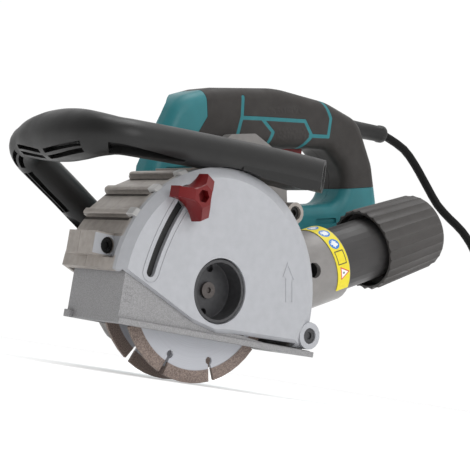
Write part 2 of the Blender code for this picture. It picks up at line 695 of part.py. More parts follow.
def lock_bore():
    return turned("lock_bore", [(0, -30), (4.4, -30), (4.4, 30), (0, 30)], CAST, LOCK, (0, 0, 0), "X",
                  SMALL_CIRCLE)


def make_lock_button():
    """Stepped pin that slides inwards to hold the gear."""
    button = [(0, -2.0), (4.0, -2.0), (4.0, 5.3), (6.2, 5.3), (6.2, 9.0), (0, 9.0)]
    turned("spindle_lock_button", button, RED, LOCK, (0, 0, 0), "X", SMALL_CIRCLE)


def make_motor_bracket():
    bracket = prism("motor_bracket", case_outline(), HOUSING_END + GAP, BRACKET_END, CAST, BODY)
    at = (MOTOR_X, MOTOR_Z)
    for tag, x, z in (("spindle", 0, 0), ("rotor", *at)):
        fuse(bracket, bore(f"{tag}_boss", x, z, 14.0, 78.6, HOUSING_END + 1, BODY, CIRCLE))
    cut(bracket, bore("spindle_seat", 0, 0, 11.3, 70, 84.8, BODY, CIRCLE))
    cut(bracket, bore("rotor_seat", *at, 11.3, 70, 90, BODY, CIRCLE))
    return bracket


def make_motor_housing():
    at = (MOTOR_X, 0, MOTOR_Z)
    inner = MOTOR_R - MOTOR_WALL
    y0 = BRACKET_END + GAP
    housing = turned("motor_housing", [(inner, y0), (MOTOR_R, y0), (MOTOR_R, MOTOR_END),
                                       (inner, MOTOR_END)],
                     TEAL, BODY, at)
    for tag, side in (("front", -1), ("rear", 1)):
        hole = [(0, side * 30), (5.8, side * 30), (5.8, side * 50), (0, side * 50)]
        cut(housing, turned(f"cap_hole_{tag}", hole, TEAL, BODY, (MOTOR_X, BRUSH_Y, MOTOR_Z), "X",
                            SMALL_CIRCLE))
    cut(housing, far_screw_bore("housing"))
    cap = [(inner - 0.3, MOTOR_END + GAP), (MOTOR_R, MOTOR_END + GAP), (MOTOR_R - 1, 152), (36, CAP_END),
           (0, CAP_END),
           (0, 155.0), (9.8, 155.0), (9.8, 147.5), (12.5, 147.5), (12.5, 155.0), (33, 155.0), (38, 150)]
    end = turned("motor_end_cap", cap, BLACK, BODY, at)
    for k in range(6):
        angle = 60.0 * k + 30.0
        centre = arc(MOTOR_X, MOTOR_Z, 23.0, angle, angle, 1)[0]
        cut(end, bore(f"end_vent_{k}", *centre, 4.0, 150, 165, BODY, 10))


BRUSH_Y = 137.0


def make_motor_inside():
    at = (MOTOR_X, 0, MOTOR_Z)
    shaft = [(0, GEAR_Y), (4.0, GEAR_Y), (4.0, 78.4), (6.0, 78.4), (6.0, 146.0), (4.0, 146.0),
             (4.0, 154.0), (0, 154.0)]
    turned("rotor_shaft", shaft, STEEL, BODY, at, "Y", SMALL_CIRCLE)
    ring("rotor_core", 6.3, 24.0, 102.0, 130.0, LAMINATE, BODY, at)
    ring("commutator", 6.3, 13.0, 132.0, 144.0, COPPER, BODY, at)
    ring("stator", 25.0, 39.6, 100.0, 131.0, LAMINATE, BODY, at)
    fan = ring("cooling_fan", 6.3, 36.0, 88.5, 97.0, BLACK, BODY, at)
    for k in range(10):
        middle = 36.0 * k
        gap = arc(MOTOR_X, MOTOR_Z, 37.0, middle - 13, middle + 13,
                  4) + arc(MOTOR_X, MOTOR_Z, 14.0, middle + 6, middle - 6, 2)
        cut(fan, cutter(f"fan_gap_{k}", gap, 90.5, 99, BODY))
    for tag, side in (("front", -1), ("rear", 1)):
        make_brush(tag, side)


def make_brush(tag, side):
    at = (MOTOR_X, BRUSH_Y, MOTOR_Z)
    holder = [(3.3, side * 16), (5.0, side * 16), (5.0, side * 39.4), (3.3, side * 39.4)]
    turned(f"brush_holder_{tag}", holder, COPPER, BODY, at, "X", SMALL_CIRCLE)
    turned(f"brush_{tag}", [(0, side * 13.4), (3.0, side * 13.4), (3.0, side * 28), (0, side * 28)],
           CARBON, BODY, at, "X",
           SMALL_CIRCLE)
    cap = [(0, side * 39.8), (5.5, side * 39.8), (5.5, side * 43.6), (0, side * 43.6)]
    turned(f"brush_cap_{tag}", cap, BLACK, BODY, at, "X", SMALL_CIRCLE)


# ---- D-handle --------------------------------------------------------------------------------------
HANDLE_NEAR = HANDLE_Y - HANDLE_HALF
HANDLE_FAR = HANDLE_Y + HANDLE_HALF
SEAM = 0.15                     # half the gap between the handle shells


def handle_outline():
    return rounded([(4, 40, 14), (60, 22, 14), (100, 14, 14), (232, 16, 14), (240, 44, 14), (236, 76, 30),
                    (222, 112, 22), (188, 127, 60), (136, 138, 90), (72, 138.5, 20), (40, 132, 26),
                    (20, 100, 26), (8, 76, 20)], 3)


def handle_opening():
    return rounded([(104, 48, 12), (201.5, 46.5, 16), (203, 72, 18), (186, 90, 12), (104, 93, 12)], 4)


def handle_solid(name, inset, y0, y1, edge0, edge1, finish):
    return soft_prism(name, offset(handle_outline(), inset), offset(handle_opening(), -inset), y0, y1,
                      edge0, edge1,
                      finish, BODY)


def rubber_zone(tag, grow=0.0):
    """The part of the handle that the rubber covers: grip and upper rear post."""
    zone = [(66 - grow, 160), (64 - grow, 84 - grow), (150, 84 - grow), (188, 58 - grow),
            (260, 58 - grow), (260, 160)]
    return cutter(f"{tag}_rubber_zone", zone, 60, 160, BODY)


def handle_room():
    """Hollow of the grip, the rear post and the front pillar."""
    return rounded([(22, 84, 8), (60, 76, 8), (90, 78, 8), (96, 100, 4), (180, 98, 10), (204, 92, 8),
                    (209.5, 74, 8), (209.5, 40, 6),
                    (228, 40, 6), (225, 74, 10), (214, 104, 10), (186, 118,
                                                                  30), (136, 129, 40), (72, 129.5, 12),
                    (44, 122, 12)], 4)


def make_handle_half(side, y0, y1, edge0, edge1):
    shell = handle_solid(f"handle_shell_{side}", 0, y0, y1, edge0, edge1, TEAL)
    cut(shell, rubber_zone(f"shell_{side}", GAP))
    core_y0 = y0 + (RUBBER_T + GAP if edge0 else 0)
    core_y1 = y1 - (RUBBER_T + GAP if edge1 else 0)
    core = handle_solid(f"core_{side}", RUBBER_T + GAP, core_y0, core_y1, edge0 and edge0 - 1.5,
                        edge1 and edge1 - 1.5,
                        TEAL)
    fuse(shell, core)
    inner = (HANDLE_NEAR + 6, y1 + 1) if edge0 else (y0 - 1, HANDLE_FAR - 6)
    cut(shell, cutter(f"room_{side}", handle_room(), *inner, BODY))
    cut(shell, motor_clearance(side), trigger_slot(side), boot_bore(side))
    rubber = handle_solid(f"grip_rubber_{side}", 0, y0, y1, edge0, edge1, RUBBER)
    keep(rubber, rubber_zone(f"grip_{side}"))
    hollow_y0 = y0 + RUBBER_T if edge0 else y0 - 1
    hollow_y1 = y1 - RUBBER_T if edge1 else y1 + 1
    cut(rubber, handle_solid(f"hollow_{side}", RUBBER_T, hollow_y0, hollow_y1, edge0 and edge0 - 1.5,
                             edge1 and edge1 - 1.5, RUBBER))
    cut(rubber, trigger_slot(f"rubber_{side}"), boot_bore(f"rubber_{side}"))
    weld(rubber)
    if side == "far":
        cut(shell, button_bore("shell"))
        cut(rubber, button_bore("rubber"))


def motor_clearance(tag):
    clear = MOTOR_R + GAP
    return turned(f"motor_clearance_{tag}", [(0, 60), (clear, 60), (clear, 140), (0, 140)], TEAL, BODY,
                  (MOTOR_X, 0, MOTOR_Z))


TRIGGER_PIN = (112.0, 101.0)


def trigger_slot(tag):
    slot = [(106, 80), (173, 80), (173, 110), (106, 110)]
    return cutter(f"trigger_slot_{tag}", slot, HANDLE_Y - 7.5, HANDLE_Y + 7.5, BODY)


def make_trigger():
    shape = rounded([(108, 97, 3), (120, 90, 8), (150, 87, 20), (168, 84, 3), (170, 97, 3), (140, 103, 6),
                     (112, 105, 4)], 4)
    x, z = TRIGGER_PIN
    local = [(px - x, pz - z) for px, pz in shape]
    trigger = prism("trigger", local, HANDLE_Y - 7, HANDLE_Y + 7, RED, BODY)
    trigger.location = Vector((x, 0, z)) * MM
    soften(trigger, 1.5, 1)
    box = rounded([(120, 111, 1), (164, 111, 1), (164, 119, 1), (120, 126, 1)], 2)
    prism("switch_body", box, HANDLE_Y - 10, HANDLE_Y + 10, BLACK, BODY)


BUTTON_AT = (176.0, 112.0)


def button_bore(tag):
    return bore(f"button_bore_{tag}", *BUTTON_AT, 5.4, 118, 140, BODY)


def make_lock_off_button():
    profile = [(0, -8.0), (5.0, -8.0), (5.0, 3.0), (4.0, 4.0), (0, 4.0)]
    turned("lock_off_button", profile, BLACK, BODY, (BUTTON_AT[0], HANDLE_FAR, BUTTON_AT[1]), "Y",
           SMALL_CIRCLE)


# ---- bail handle -----------------------------------------------------------------------------------
BAIL_PATH = (
    (82, 11, 95.0), (60, 11, 94.2), (30, 11, 92.6), (0, 11, 90.6), (-40, 11, 87.6), (-70, 11, 85.2),
    (-88, 13, 83.8), (-98, 24, 83.0), (-100, 40, 83.0), (-100, 58, 83.0), (-100, 78, 82.8),
    (-100, 96, 81.8), (-98, 109, 79.0), (-90, 117, 73.8), (-76, 119, 66.5), (-58, 119, 56.5),
    (-40, 119, 46.0), (-22, 119, 36.0), (-2, 119, 30.0))
BAIL_R = 11.8
BULGE_R = 17.3


def smooth_path(route, spacing):
    """Points along a Catmull-Rom curve through the route, about `spacing` apart."""
    ends = [Vector(p) for p in route]
    ends = [2 * ends[0] - ends[1]] + ends + [2 * ends[-1] - ends[-2]]
    points = []
    for p0, p1, p2, p3 in zip(ends, ends[1:], ends[2:], ends[3:]):
        steps = max(1, round((p2 - p1).length / spacing))
        for k in range(steps):
            t = k / steps
            points.append(0.5 * ((2 * p1) + (p2 - p0) * t + (2 * p0 - 5 * p1 + 4 * p2 - p3) * t ** 2
                                 + (3 * p1 - p0 - 3 * p2 + p3) * t ** 3))
    points.append(ends[-2])
    return points


def bail_radius(point):
    """Thicker in the middle of the crossbar, where the hand holds it."""
    if point.x > -86:
        return BAIL_R
    share = min(1.0, max(0.0, (point.y - 14) / 88))
    return BAIL_R + (BULGE_R - BAIL_R) * math.sin(math.pi * share) ** 0.8


def sweep(name, points, radius_at, finish, sides=14):
    """Round section swept along a path, kept upright."""
    rings = []
    for k, point in enumerate(points):
        ahead = points[min(k + 1, len(points) - 1)] - points[max(k - 1, 0)]
        side = ahead.cross(Vector((0, 0, 1))).normalized()
        up = side.cross(ahead).normalized()
        r = radius_at(point)
        rings.append([point + r * (math.cos(a) * side + math.sin(a) * up)
                      for a in (math.tau * s / sides for s in range(sides))])
    return loft(name, rings, finish, smooth=50)


def far_screw_bore(tag):
    return turned(f"far_screw_bore_{tag}", [(0, -60), (3.2, -60), (3.2, 10), (0, 10)], CAST, FAR_SCREW,
                  (0, 0, 0), "X",
                  SMALL_CIRCLE)


def make_bail():
    bail = sweep("bail_handle", smooth_path(BAIL_PATH, 11.0), bail_radius, BLACK)
    foot = rounded([(4, 80.5, 2), (62, 80.5, 3), (78, 84, 3), (78, 92, 0), (4, 92, 0)], 3)
    fuse(bail, cutter("bail_foot", foot, 1, 21))
    cut(bail, turned("bail_guard_fit", [(0, -20), (GUARD_R + GAP, -20), (GUARD_R + GAP, 60), (0, 60)],
                     BLACK,
                     at=(GUARD_X, 0, GUARD_Z), steps=128))
    cut(bail, turned("bail_motor_fit", [(0, 90), (MOTOR_R + GAP, 90), (MOTOR_R + GAP, 150), (0, 150)],
                     BLACK, BODY,
                     (MOTOR_X, 0, MOTOR_Z)))
    cut(bail, turned("bail_end_hole", [(0, 0), (6.5, 0), (6.5, 30), (0, 30)], BLACK, at=(70, 11, 94.6),
                     axis="X",
                     steps=SMALL_CIRCLE))
    cut(bail, turned("bail_foot_bore", [(0, 70), (3.2, 70), (3.2, 94), (0, 94)], BLACK, at=(8, 11, 0),
                     axis="Z",
                     steps=SMALL_CIRCLE))
    cut(bail, far_screw_bore("bail"))
    cut(bail, turned("far_screw_recess", [(0, -60), (6, -60), (6, -24), (0, -24)], BLACK, FAR_SCREW,
                     (0, 0, 0), "X",
                     SMALL_CIRCLE))
    near = [(0, 71.0), (5, 71.0), (5, 74.6), (2.9, 74.6), (2.9, 93.4), (0, 93.4)]
    turned("bail_screw_near", near, DARK_STEEL, at=(8, 11, 0), axis="Z", steps=SMALL_CIRCLE)
    far = [(0, -28), (5, -28), (5, -24.3), (2.9, -24.3), (2.9, -1.2), (0, -1.2)]
    turned("bail_screw_far", far, DARK_STEEL, FAR_SCREW, axis="X", steps=SMALL_CIRCLE)


# ---- dust port -------------------------------------------------------------------------------------
def make_dust_port():
    collar = turned("dust_collar", [(24.0, -100), (COLLAR_R, -100), (COLLAR_R, -41), (24.0, -41)], CAST,
                    PORT, axis="X")
    cut(collar, turned("collar_guard_fit", [(0, -20), (GUARD_R + GAP, -20), (GUARD_R + GAP, 90), (0, 90)],
                       CAST,
                       at=(GUARD_X, 0, GUARD_Z), steps=128))
    cut(collar, bore("collar_side_hole", 88, 28.5, 5.5, -5, 22))
    turned("dust_tube", [(21.5, -68), (TUBE_R, -68), (TUBE_R, 24), (21.5, 24)], BLACK, PORT, axis="X")
    make_adapter()
    make_label()


def make_adapter():
    """Tapered sleeve that steps the tube up to a hose; its flutes are a matter of looks."""
    length = ADAPTER_L
    profile = [(28.0, 0), (ADAPTER_R0, 0), (ADAPTER_R0, 2), (ADAPTER_R1, length - 2),
               (ADAPTER_R1 - 1.5, length),
               (25.5, length), (25.5, 44), (TUBE_R + GAP, 40), (TUBE_R + GAP, 12), (28.0, 9)]
    turned("dust_adapter", profile, RUBBER, PORT, axis="X", steps=48)


def make_label():
    """Band of film around the near side of the collar."""
    inner, outer = COLLAR_R + 0.15, COLLAR_R + 0.5
    start, end = 80.0, 215.0
    path = arc(0, 0, outer, start, end, 18) + arc(0, 0, inner, end, start, 18)
    rings = [[(x, y, z) for y, z in path] for x in (-54.0, -42.0)]
    loft("label_band", rings, YELLOW, PORT)


# ---- power cord ------------------------------------------------------------------------------------
def boot_bore(tag):
    return turned(f"boot_bore_{tag}", [(0, -12), (7.3, -12), (7.3, 30), (0, 30)], CAST, BOOT, axis="X",
                  steps=SMALL_CIRCLE)


def make_boot():
    """Tapered strain relief with a collar at its free end; the cord passes through."""
    profile = [(CORD_D / 2 + GAP, -8), (7.0, -8), (7.0, 0), (6.8, 6), (6.4, BOOT_L - 5),
               (7.2, BOOT_L - 5), (7.2, BOOT_L - 1),
               (6.4, BOOT_L), (CORD_D / 2 + GAP, BOOT_L)]
    turned("cord_boot", profile, RUBBER, BOOT, axis="X", steps=SMALL_CIRCLE)


# From the boot, down to the floor beside the tool, as far as the stored coil.
CORD_ROUTE = ((230.2, 104, 163.1), (239, 104, 161.6), (257, 103, 156.6), (271, 101, 146.4),
              (285.6, 97, 130.4),
              (295, 91, 116.6), (305, 84, 106.6), (314, 76, 97.5), (324, 68,
                                                                    82), (331, 60, 58), (336, 52, 28),
              (340, 45, -2), (345, 37, -29), (353, 28, -48), (365, 16, -57.5), (378, 3, CORD_ON_FLOOR),
              (391.2, -10.3, CORD_ON_FLOOR))
ARRIVAL = -45.0                 # degrees, heading of the cord where it reaches the clockwise coil


def coil_centre():
    heading = math.radians(ARRIVAL)
    x, y, _ = CORD_ROUTE[-1]
    return x + COIL_RADII[0] * math.sin(heading), y - COIL_RADII[0] * math.cos(heading)


def coil_end():
    """Angle, radius and height where the innermost turn ends."""
    turns = COIL_TURNS * len(COIL_RADII)
    return ARRIVAL + 90 - 360 * turns, COIL_RADII[-1], CORD_ON_FLOOR + COIL_TURNS * COIL_PITCH


def tail_route():
    """Inwards from the last turn and up to the plug, which lies on the coil."""
    angle, _, z = coil_end()
    spoke = Vector((math.cos(math.radians(angle)), math.sin(math.radians(angle)), 0))
    along = Vector((spoke.y, -spoke.x, 0))
    centre = Vector((*coil_centre(), z))
    steps = ((33.6, 0, 0), (31.5, 10, 1.4), (25, 19, 6.0), (15.5, 25, 15.4), (5, 27.5, 19.5),
             (-4, 27.8, 20.6),
             (-13, 27.8, 20.6), (-22, 27.8, 20.6))
    return [centre + spoke * a + along * b + Vector((0, 0, c)) for a, b, c in steps]


def cord_tube(name, route):
    """Round cord as a curve with filled caps."""
    curve = bpy.data.curves.new(name, "CURVE")
    curve.dimensions = "3D"
    curve.bevel_depth = CORD_D / 2 * MM
    curve.bevel_resolution = 2
    curve.use_fill_caps = True
    points = smooth_path(route, 2.4 * CORD_D)
    spline = curve.splines.new("POLY")
    spline.points.add(len(points) - 1)
    for knot, point in zip(spline.points, points):
        knot.co = (*(point * MM), 1.0)
    curve.materials.append(RUBBER)
    tube = bpy.data.objects.new(name, curve)
    tube.parent = TOOL
    bpy.context.collection.objects.link(tube)


def make_cord():
    approach = Vector((math.cos(math.radians(ARRIVAL)), math.sin(math.radians(ARRIVAL)), 0))
    coil_edge = Vector(CORD_ROUTE[-1]) - approach * 29.0
    beyond = [p for p in CORD_ROUTE
              if (Vector(p) - coil_edge).dot(approach) < -4 or p[2] > CORD_ON_FLOOR + 12]
    cord_tube("power_cord", beyond + [tuple(coil_edge)])
    cord_tube("cord_tail", tail_route()[3:])
    height = CORD_D + COIL_TURNS * COIL_PITCH
    low, high = COIL_RADII[-1] - CORD_D / 2, COIL_RADII[0] + CORD_D / 2
    x, y = coil_centre()
    turned("cord_coil", [(low, 0), (high, 0), (high, height), (low, height)], RUBBER, at=(x, y, FLOOR_Z),
           axis="Z")


def make_plug():
    """Round mains plug with its own strain relief; its axis is the end of the tail."""
    body = [(CORD_D / 2 + GAP, -14), (5.0, -14), (7.0, -4), (13.5, -1), (PLUG_R, 3), (PLUG_R, 24),
            (PLUG_R - 1.5, 26),
            (0, 26), (0, GAP), (CORD_D / 2 + GAP, GAP)]
    plug = turned("plug", body, RUBBER, PLUG, axis="X", steps=32)
    for side, shift in (("left", -9.5), ("right", 9.5)):
        hole = turned(f"pin_seat_{side}", [(0, 16), (2.7, 16), (2.7, 38), (0, 38)], RUBBER, PLUG,
                      (0, shift, 0), "X", 16)
        cut(plug, hole)
        pin = [(0, 16.3), (2.4, 16.3), (2.4, 43.5), (1.6, 45), (0, 45)]
        turned(f"plug_pin_{side}", pin, STEEL, PLUG, (0, shift, 0), "X", 16)


def plug_frame():
    before, last = tail_route()[-2:]
    frame = empty("plug_frame", TOOL, last)
    frame.rotation_euler.z = math.atan2(last.y - before.y, last.x - before.x)
    return frame


def make_all():
    make_guard_cover()
    make_guard_back()
    make_guard_screws()
    make_shroud()
    make_clamp()
    make_blade_stack()
    make_gears()
    make_bearings()
    make_gear_housing()
    make_lock_button()
    make_motor_bracket()
    make_motor_housing()
    make_motor_inside()
    make_handle_half("near", HANDLE_NEAR, HANDLE_Y - SEAM, HANDLE_EDGE, 0)
    make_handle_half("far", HANDLE_Y + SEAM, HANDLE_FAR, 0, HANDLE_EDGE)
    make_trigger()
    make_lock_off_button()
    make_bail()
    make_dust_port()
    make_boot()
    make_cord()
    make_plug()


SHROUD = empty("shroud_frame", TOOL, (PIVOT_X, 0, PIVOT_Z))
LOCK = empty("lock_frame", BODY, (LOCK_AT[0], 74.5, LOCK_AT[1]), 123.0)
FAR_SCREW = empty("far_screw_frame", TOOL, (-8.0, 119.0, 33.0))
BOOT = empty("boot_frame", TOOL, (194.0, 104.0, 159.6), 5.5)
PLUG = plug_frame()
make_all()
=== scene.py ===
"""Wall chaser in a bright studio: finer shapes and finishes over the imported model."""

import json
import math

import bmesh
import bpy
from mathutils import Matrix, Vector


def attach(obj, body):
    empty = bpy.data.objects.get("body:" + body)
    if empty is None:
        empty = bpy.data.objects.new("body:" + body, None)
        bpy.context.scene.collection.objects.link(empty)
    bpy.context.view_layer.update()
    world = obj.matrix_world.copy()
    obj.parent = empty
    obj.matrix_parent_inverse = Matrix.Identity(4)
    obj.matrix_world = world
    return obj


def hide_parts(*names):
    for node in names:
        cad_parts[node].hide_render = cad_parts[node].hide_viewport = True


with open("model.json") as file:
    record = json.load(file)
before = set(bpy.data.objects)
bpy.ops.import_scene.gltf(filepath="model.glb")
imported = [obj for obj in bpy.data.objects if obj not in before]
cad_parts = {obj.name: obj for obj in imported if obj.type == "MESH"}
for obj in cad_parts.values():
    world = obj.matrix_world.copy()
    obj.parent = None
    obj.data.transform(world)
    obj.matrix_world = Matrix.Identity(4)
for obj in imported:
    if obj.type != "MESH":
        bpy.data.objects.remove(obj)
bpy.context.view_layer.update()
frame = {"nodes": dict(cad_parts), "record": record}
NODES = frame["nodes"]

# ---- frames of the model; shapes are drawn in millimetres ------------------------------------------
MM = 0.001
GAP = 0.3
HANDLE_PITCH = 14.5             # degrees that the handles lean back
PORT_PITCH = 24.1               # degrees that the dust port rises
TOOL = Matrix.Translation((-0.0566, -0.0700, 0.0625))
BODY = TOOL @ Matrix.Rotation(-math.radians(HANDLE_PITCH), 4, "Y")
PORT = TOOL @ Matrix.Translation((0.1578, 0.0350, 0.0547)) @ Matrix.Rotation(-math.radians(PORT_PITCH), 4, "Y")
SHROUD = TOOL @ Matrix.Translation((0.0868, 0.0, -0.0177))
BOOT = TOOL @ Matrix.Translation((0.1940, 0.1040, 0.1596)) @ Matrix.Rotation(-math.radians(5.5), 4, "Y")
BLADE_AXIS = (-0.0566, 0.0, 0.0625)


# ---- camera ----------------------------------------------------------------------------------------
CAMERA_AT = Vector((-0.61611, -0.75606, 0.01263))
CAMERA_RIGHT = Vector((0.75269475, -0.63937552, 0.15700179))
CAMERA_UP = Vector((-0.18389014, 0.02480874, 0.98263368))
FOCAL_LENGTH = 103.65


def make_camera():
    data = bpy.data.cameras.new("camera")
    data.lens = FOCAL_LENGTH
    data.sensor_width = 36.0
    data.clip_start = 0.05
    data.clip_end = 30.0
    camera = bpy.data.objects.new("camera", data)
    bpy.context.scene.collection.objects.link(camera)
    turn = Matrix((CAMERA_RIGHT, CAMERA_UP, CAMERA_RIGHT.cross(CAMERA_UP))).transposed()
    camera.matrix_world = Matrix.Translation(CAMERA_AT) @ turn.to_4x4()
    bpy.context.scene.camera = camera


# ---- node materials --------------------------------------------------------------------------------
class Graph:
    """A material and short ways to add nodes to it."""

    def __init__(self, name):
        self.made = bpy.data.materials.new(name)
        self.made.use_nodes = True
        self.tree = self.made.node_tree
        self.shader = self.tree.nodes["Principled BSDF"]
        self.place = self.node("ShaderNodeTexCoord").outputs["Object"]

    def node(self, kind, **settings):
        made = self.tree.nodes.new(kind)
        for key, value in settings.items():
            setattr(made, key, value)
        return made

    def link(self, source, target):
        if isinstance(source, bpy.types.NodeSocket):
            self.tree.links.new(source, target)
        else:
            target.default_value = source

    def math(self, operation, first, second=0.0, third=0.0, clamp=False):
        made = self.node("ShaderNodeMath", operation=operation, use_clamp=clamp)
        for socket, value in zip(made.inputs, (first, second, third)):
            self.link(value, socket)
        return made.outputs[0]

    def vector(self, operation, first, second=(0, 0, 0), scale=1.0):
        made = self.node("ShaderNodeVectorMath", operation=operation)
        self.link(first, made.inputs[0])
        self.link(second, made.inputs[1])
        if operation == "SCALE":
            self.link(scale, made.inputs["Scale"])
        return made.outputs["Value" if operation in ("LENGTH", "DOT_PRODUCT") else "Vector"]

    def noise(self, scale, detail=4.0, place=None, roughness=0.5):
        made = self.node("ShaderNodeTexNoise")
        made.inputs["Scale"].default_value = scale
        made.inputs["Detail"].default_value = detail
        made.inputs["Roughness"].default_value = roughness
        self.link(place or self.place, made.inputs["Vector"])
        return made.outputs["Fac"]

    def fit(self, value, low, high, to_low=0.0, to_high=1.0, smooth=False):
        made = self.node("ShaderNodeMapRange", interpolation_type="SMOOTHSTEP" if smooth else "LINEAR")
        for socket, source in zip(made.inputs, (value, low, high, to_low, to_high)):
            self.link(source, socket)
        return made.outputs[0]

    def mix(self, share, first, second):
        made = self.node("ShaderNodeMix", data_type="RGBA")
        self.link(share, made.inputs["Factor"])
        for socket, colour in ((made.inputs[6], first), (made.inputs[7], second)):
            self.link(colour if isinstance(colour, bpy.types.NodeSocket) else (*colour, 1.0), socket)
        return made.outputs[2]

    def axes(self, origin, *directions):
        """Coordinates of the shaded point along each direction, in metres from the origin."""
        from_origin = self.vector("SUBTRACT", self.place, tuple(origin))
        return [self.vector("DOT_PRODUCT", from_origin, tuple(d)) for d in directions]

    def speckle(self, colour, vary, scale):
        """The colour, a little lighter and darker from place to place."""
        share = self.fit(self.noise(scale, 6.0), 0.3, 0.7)
        return self.mix(share, [c * (1 - vary) for c in colour],
                        [min(1.0, c * (1 + vary)) for c in colour])

    def finish(self, colour, roughness, metallic, bump, bump_scale, spread=0.08, shine=0.5):
        self.link(colour, self.shader.inputs["Base Color"])
        self.shader.inputs["Specular IOR Level"].default_value = shine
        self.shader.inputs["Metallic"].default_value = metallic
        low, high = max(0.02, roughness - spread), min(1.0, roughness + spread)
        rough = self.fit(self.noise(60.0, 5.0), 0.3, 0.7, low, high)
        self.link(rough, self.shader.inputs["Roughness"])
        if bump:
            grain = self.node("ShaderNodeBump")
            grain.inputs["Strength"].default_value = 1.0
            grain.inputs["Distance"].default_value = bump
            self.link(self.noise(bump_scale, 3.0), grain.inputs["Height"])
            self.link(grain.outputs["Normal"], self.shader.inputs["Normal"])
        return self.made


def plain(name, colour, roughness, metallic=0.0, vary=0.08, scale=90.0, bump=0.0, bump_scale=900.0,
          shine=0.5):
    g = Graph(name)
    return g.finish(g.speckle(colour, vary, scale), roughness, metallic, bump, bump_scale, shine=shine)


GUARD_AT = Vector((4.0, 0.0, -3.0))     # centre of the guard's rim
GUARD_R = 85.0
RIB_ANGLES = (121.7, 136.8, 152.1)


def make_cover_metal():
    """Smooth painted face, and behind it ribs of rougher, warmer casting, painted darker as their shade, with
    a painted shadow under each lip.
    """
    g = Graph("cover_metal")
    along, across, up = g.axes(TOOL.translation, (1, 0, 0), (0, 1, 0), (0, 0, 1))
    face = g.speckle((0.385, 0.392, 0.414), 0.04, 160.0)
    # painted shadow: under each rib's lip the rib colour goes near-black
    shaded_ribs = g.mix(painted_rib_shadow(g), g.speckle((0.320, 0.292, 0.268), 0.12, 220.0), (0.045, 0.040, 0.036))
    block = g.math("MULTIPLY", g.math("LESS_THAN", along, -0.068), g.math("GREATER_THAN", up, 0.0095))
    block = g.math("MULTIPLY", block, g.math("LESS_THAN", up, 0.0225))
    block = g.math("MULTIPLY", block, g.math("LESS_THAN", across, 0.0240))
    # painted shade: the ribs behind the face take the darker rib colour; the block's near end keeps the face
    # colour
    shaded_rib_zone = g.math("MULTIPLY", g.fit(across, 0.0085, 0.0100), g.math("SUBTRACT", 1.0, block))
    return g.finish(g.mix(shaded_rib_zone, face, shaded_ribs), 0.45, 0.15, 0.00002, 700.0, shine=0.3)


def painted_rib_shadow(g):
    """1 in the painted shadow under the lip of each rib, where the rib colour is darkened to near-black."""
    x, z = g.axes(TOOL.translation + GUARD_AT * MM, (1, 0, 0), (0, 0, 1))
    angle = g.math("ARCTAN2", z, x)
    gap = None
    for rib in RIB_ANGLES:
        away = g.math("ABSOLUTE", g.math("SUBTRACT", angle, math.radians(rib + 0.9)))
        near = g.fit(away, 0.011, 0.017, 1.0, 0.0)
        gap = near if gap is None else g.math("MAXIMUM", gap, near)
    return gap


def make_shroud_metal():
    """Rough grey casting; the arm seen through the depth slot is painted near-black as painted shade."""
    g = Graph("shroud_metal")
    across, = g.axes((0, -0.0635, 0), (0, 1, 0))
    x, z = g.axes((0.0302, 0.0, 0.0448), (1, 0, 0), (0, 0, 1))
    radius = g.math("SQRT", g.math("ADD", g.math("MULTIPLY", x, x), g.math("MULTIPLY", z, z)))
    # painted shade: where the arm shows through the depth slot its colour is near-black
    slot = g.math("LESS_THAN", g.math("ABSOLUTE", g.math("SUBTRACT", radius, 0.1462)), 0.0048)
    slot = g.math("MULTIPLY", slot, g.math("GREATER_THAN", g.math("DIVIDE", z, g.math("ABSOLUTE", x)),
                                           0.12))
    slot = g.math("MULTIPLY", slot, g.math("LESS_THAN", across, 0.0))
    grain = g.mix(g.fit(g.noise(1300.0, 5.0), 0.35, 0.65), (0.215, 0.213, 0.217), (0.30, 0.297, 0.302))
    return g.finish(g.mix(slot, grain, (0.02, 0.02, 0.02)), 0.5, 0.2, 0.00012, 1300.0, shine=0.4)


def make_blade_metal():
    """Pale ground core and dull, gritty segments at the rim."""
    g = Graph("blade_metal")
    x, z = g.axes(BLADE_AXIS, (1, 0, 0), (0, 0, 1))
    radius = g.math("SQRT", g.math("ADD", g.math("MULTIPLY", x, x), g.math("MULTIPLY", z, z)))
    rings = g.node("ShaderNodeTexNoise")
    rings.inputs["Scale"].default_value = 1500.0
    stretched = g.node("ShaderNodeCombineXYZ")
    g.link(radius, stretched.inputs[0])
    g.link(stretched.outputs[0], rings.inputs["Vector"])
    core = g.mix(g.fit(rings.outputs["Fac"], 0.3, 0.7), (0.445, 0.455, 0.49), (0.50, 0.51, 0.545))
    grit = g.mix(g.fit(g.noise(1400.0, 4.0), 0.35, 0.65), (0.13, 0.098, 0.084), (0.30, 0.235, 0.205))
    return g.finish(g.mix(g.fit(radius, 0.0536, 0.0542), core, grit), 0.45, 0.25, 0.00002, 1500.0,
                    shine=0.35)


def line_distance(g, across, up, points):
    """Distance in metres from the shaded point to a bent line, both in one plane."""
    here = g.node("ShaderNodeCombineXYZ")
    g.link(across, here.inputs[0])
    g.link(up, here.inputs[1])
    nearest = None
    for start, end in zip(points, points[1:]):
        a, b = Vector((*start, 0)) * MM, Vector((*end, 0)) * MM
        rel = g.vector("SUBTRACT", here.outputs[0], tuple(a))
        along = g.vector("DOT_PRODUCT", rel, tuple((b - a) / (b - a).length_squared))
        along = g.math("MINIMUM", g.math("MAXIMUM", along, 0.0), 1.0)
        foot = g.vector("SCALE", tuple(b - a), scale=along)
        gap = g.vector("LENGTH", g.vector("SUBTRACT", rel, foot))
        nearest = gap if nearest is None else g.math("MINIMUM", nearest, gap)
    return nearest


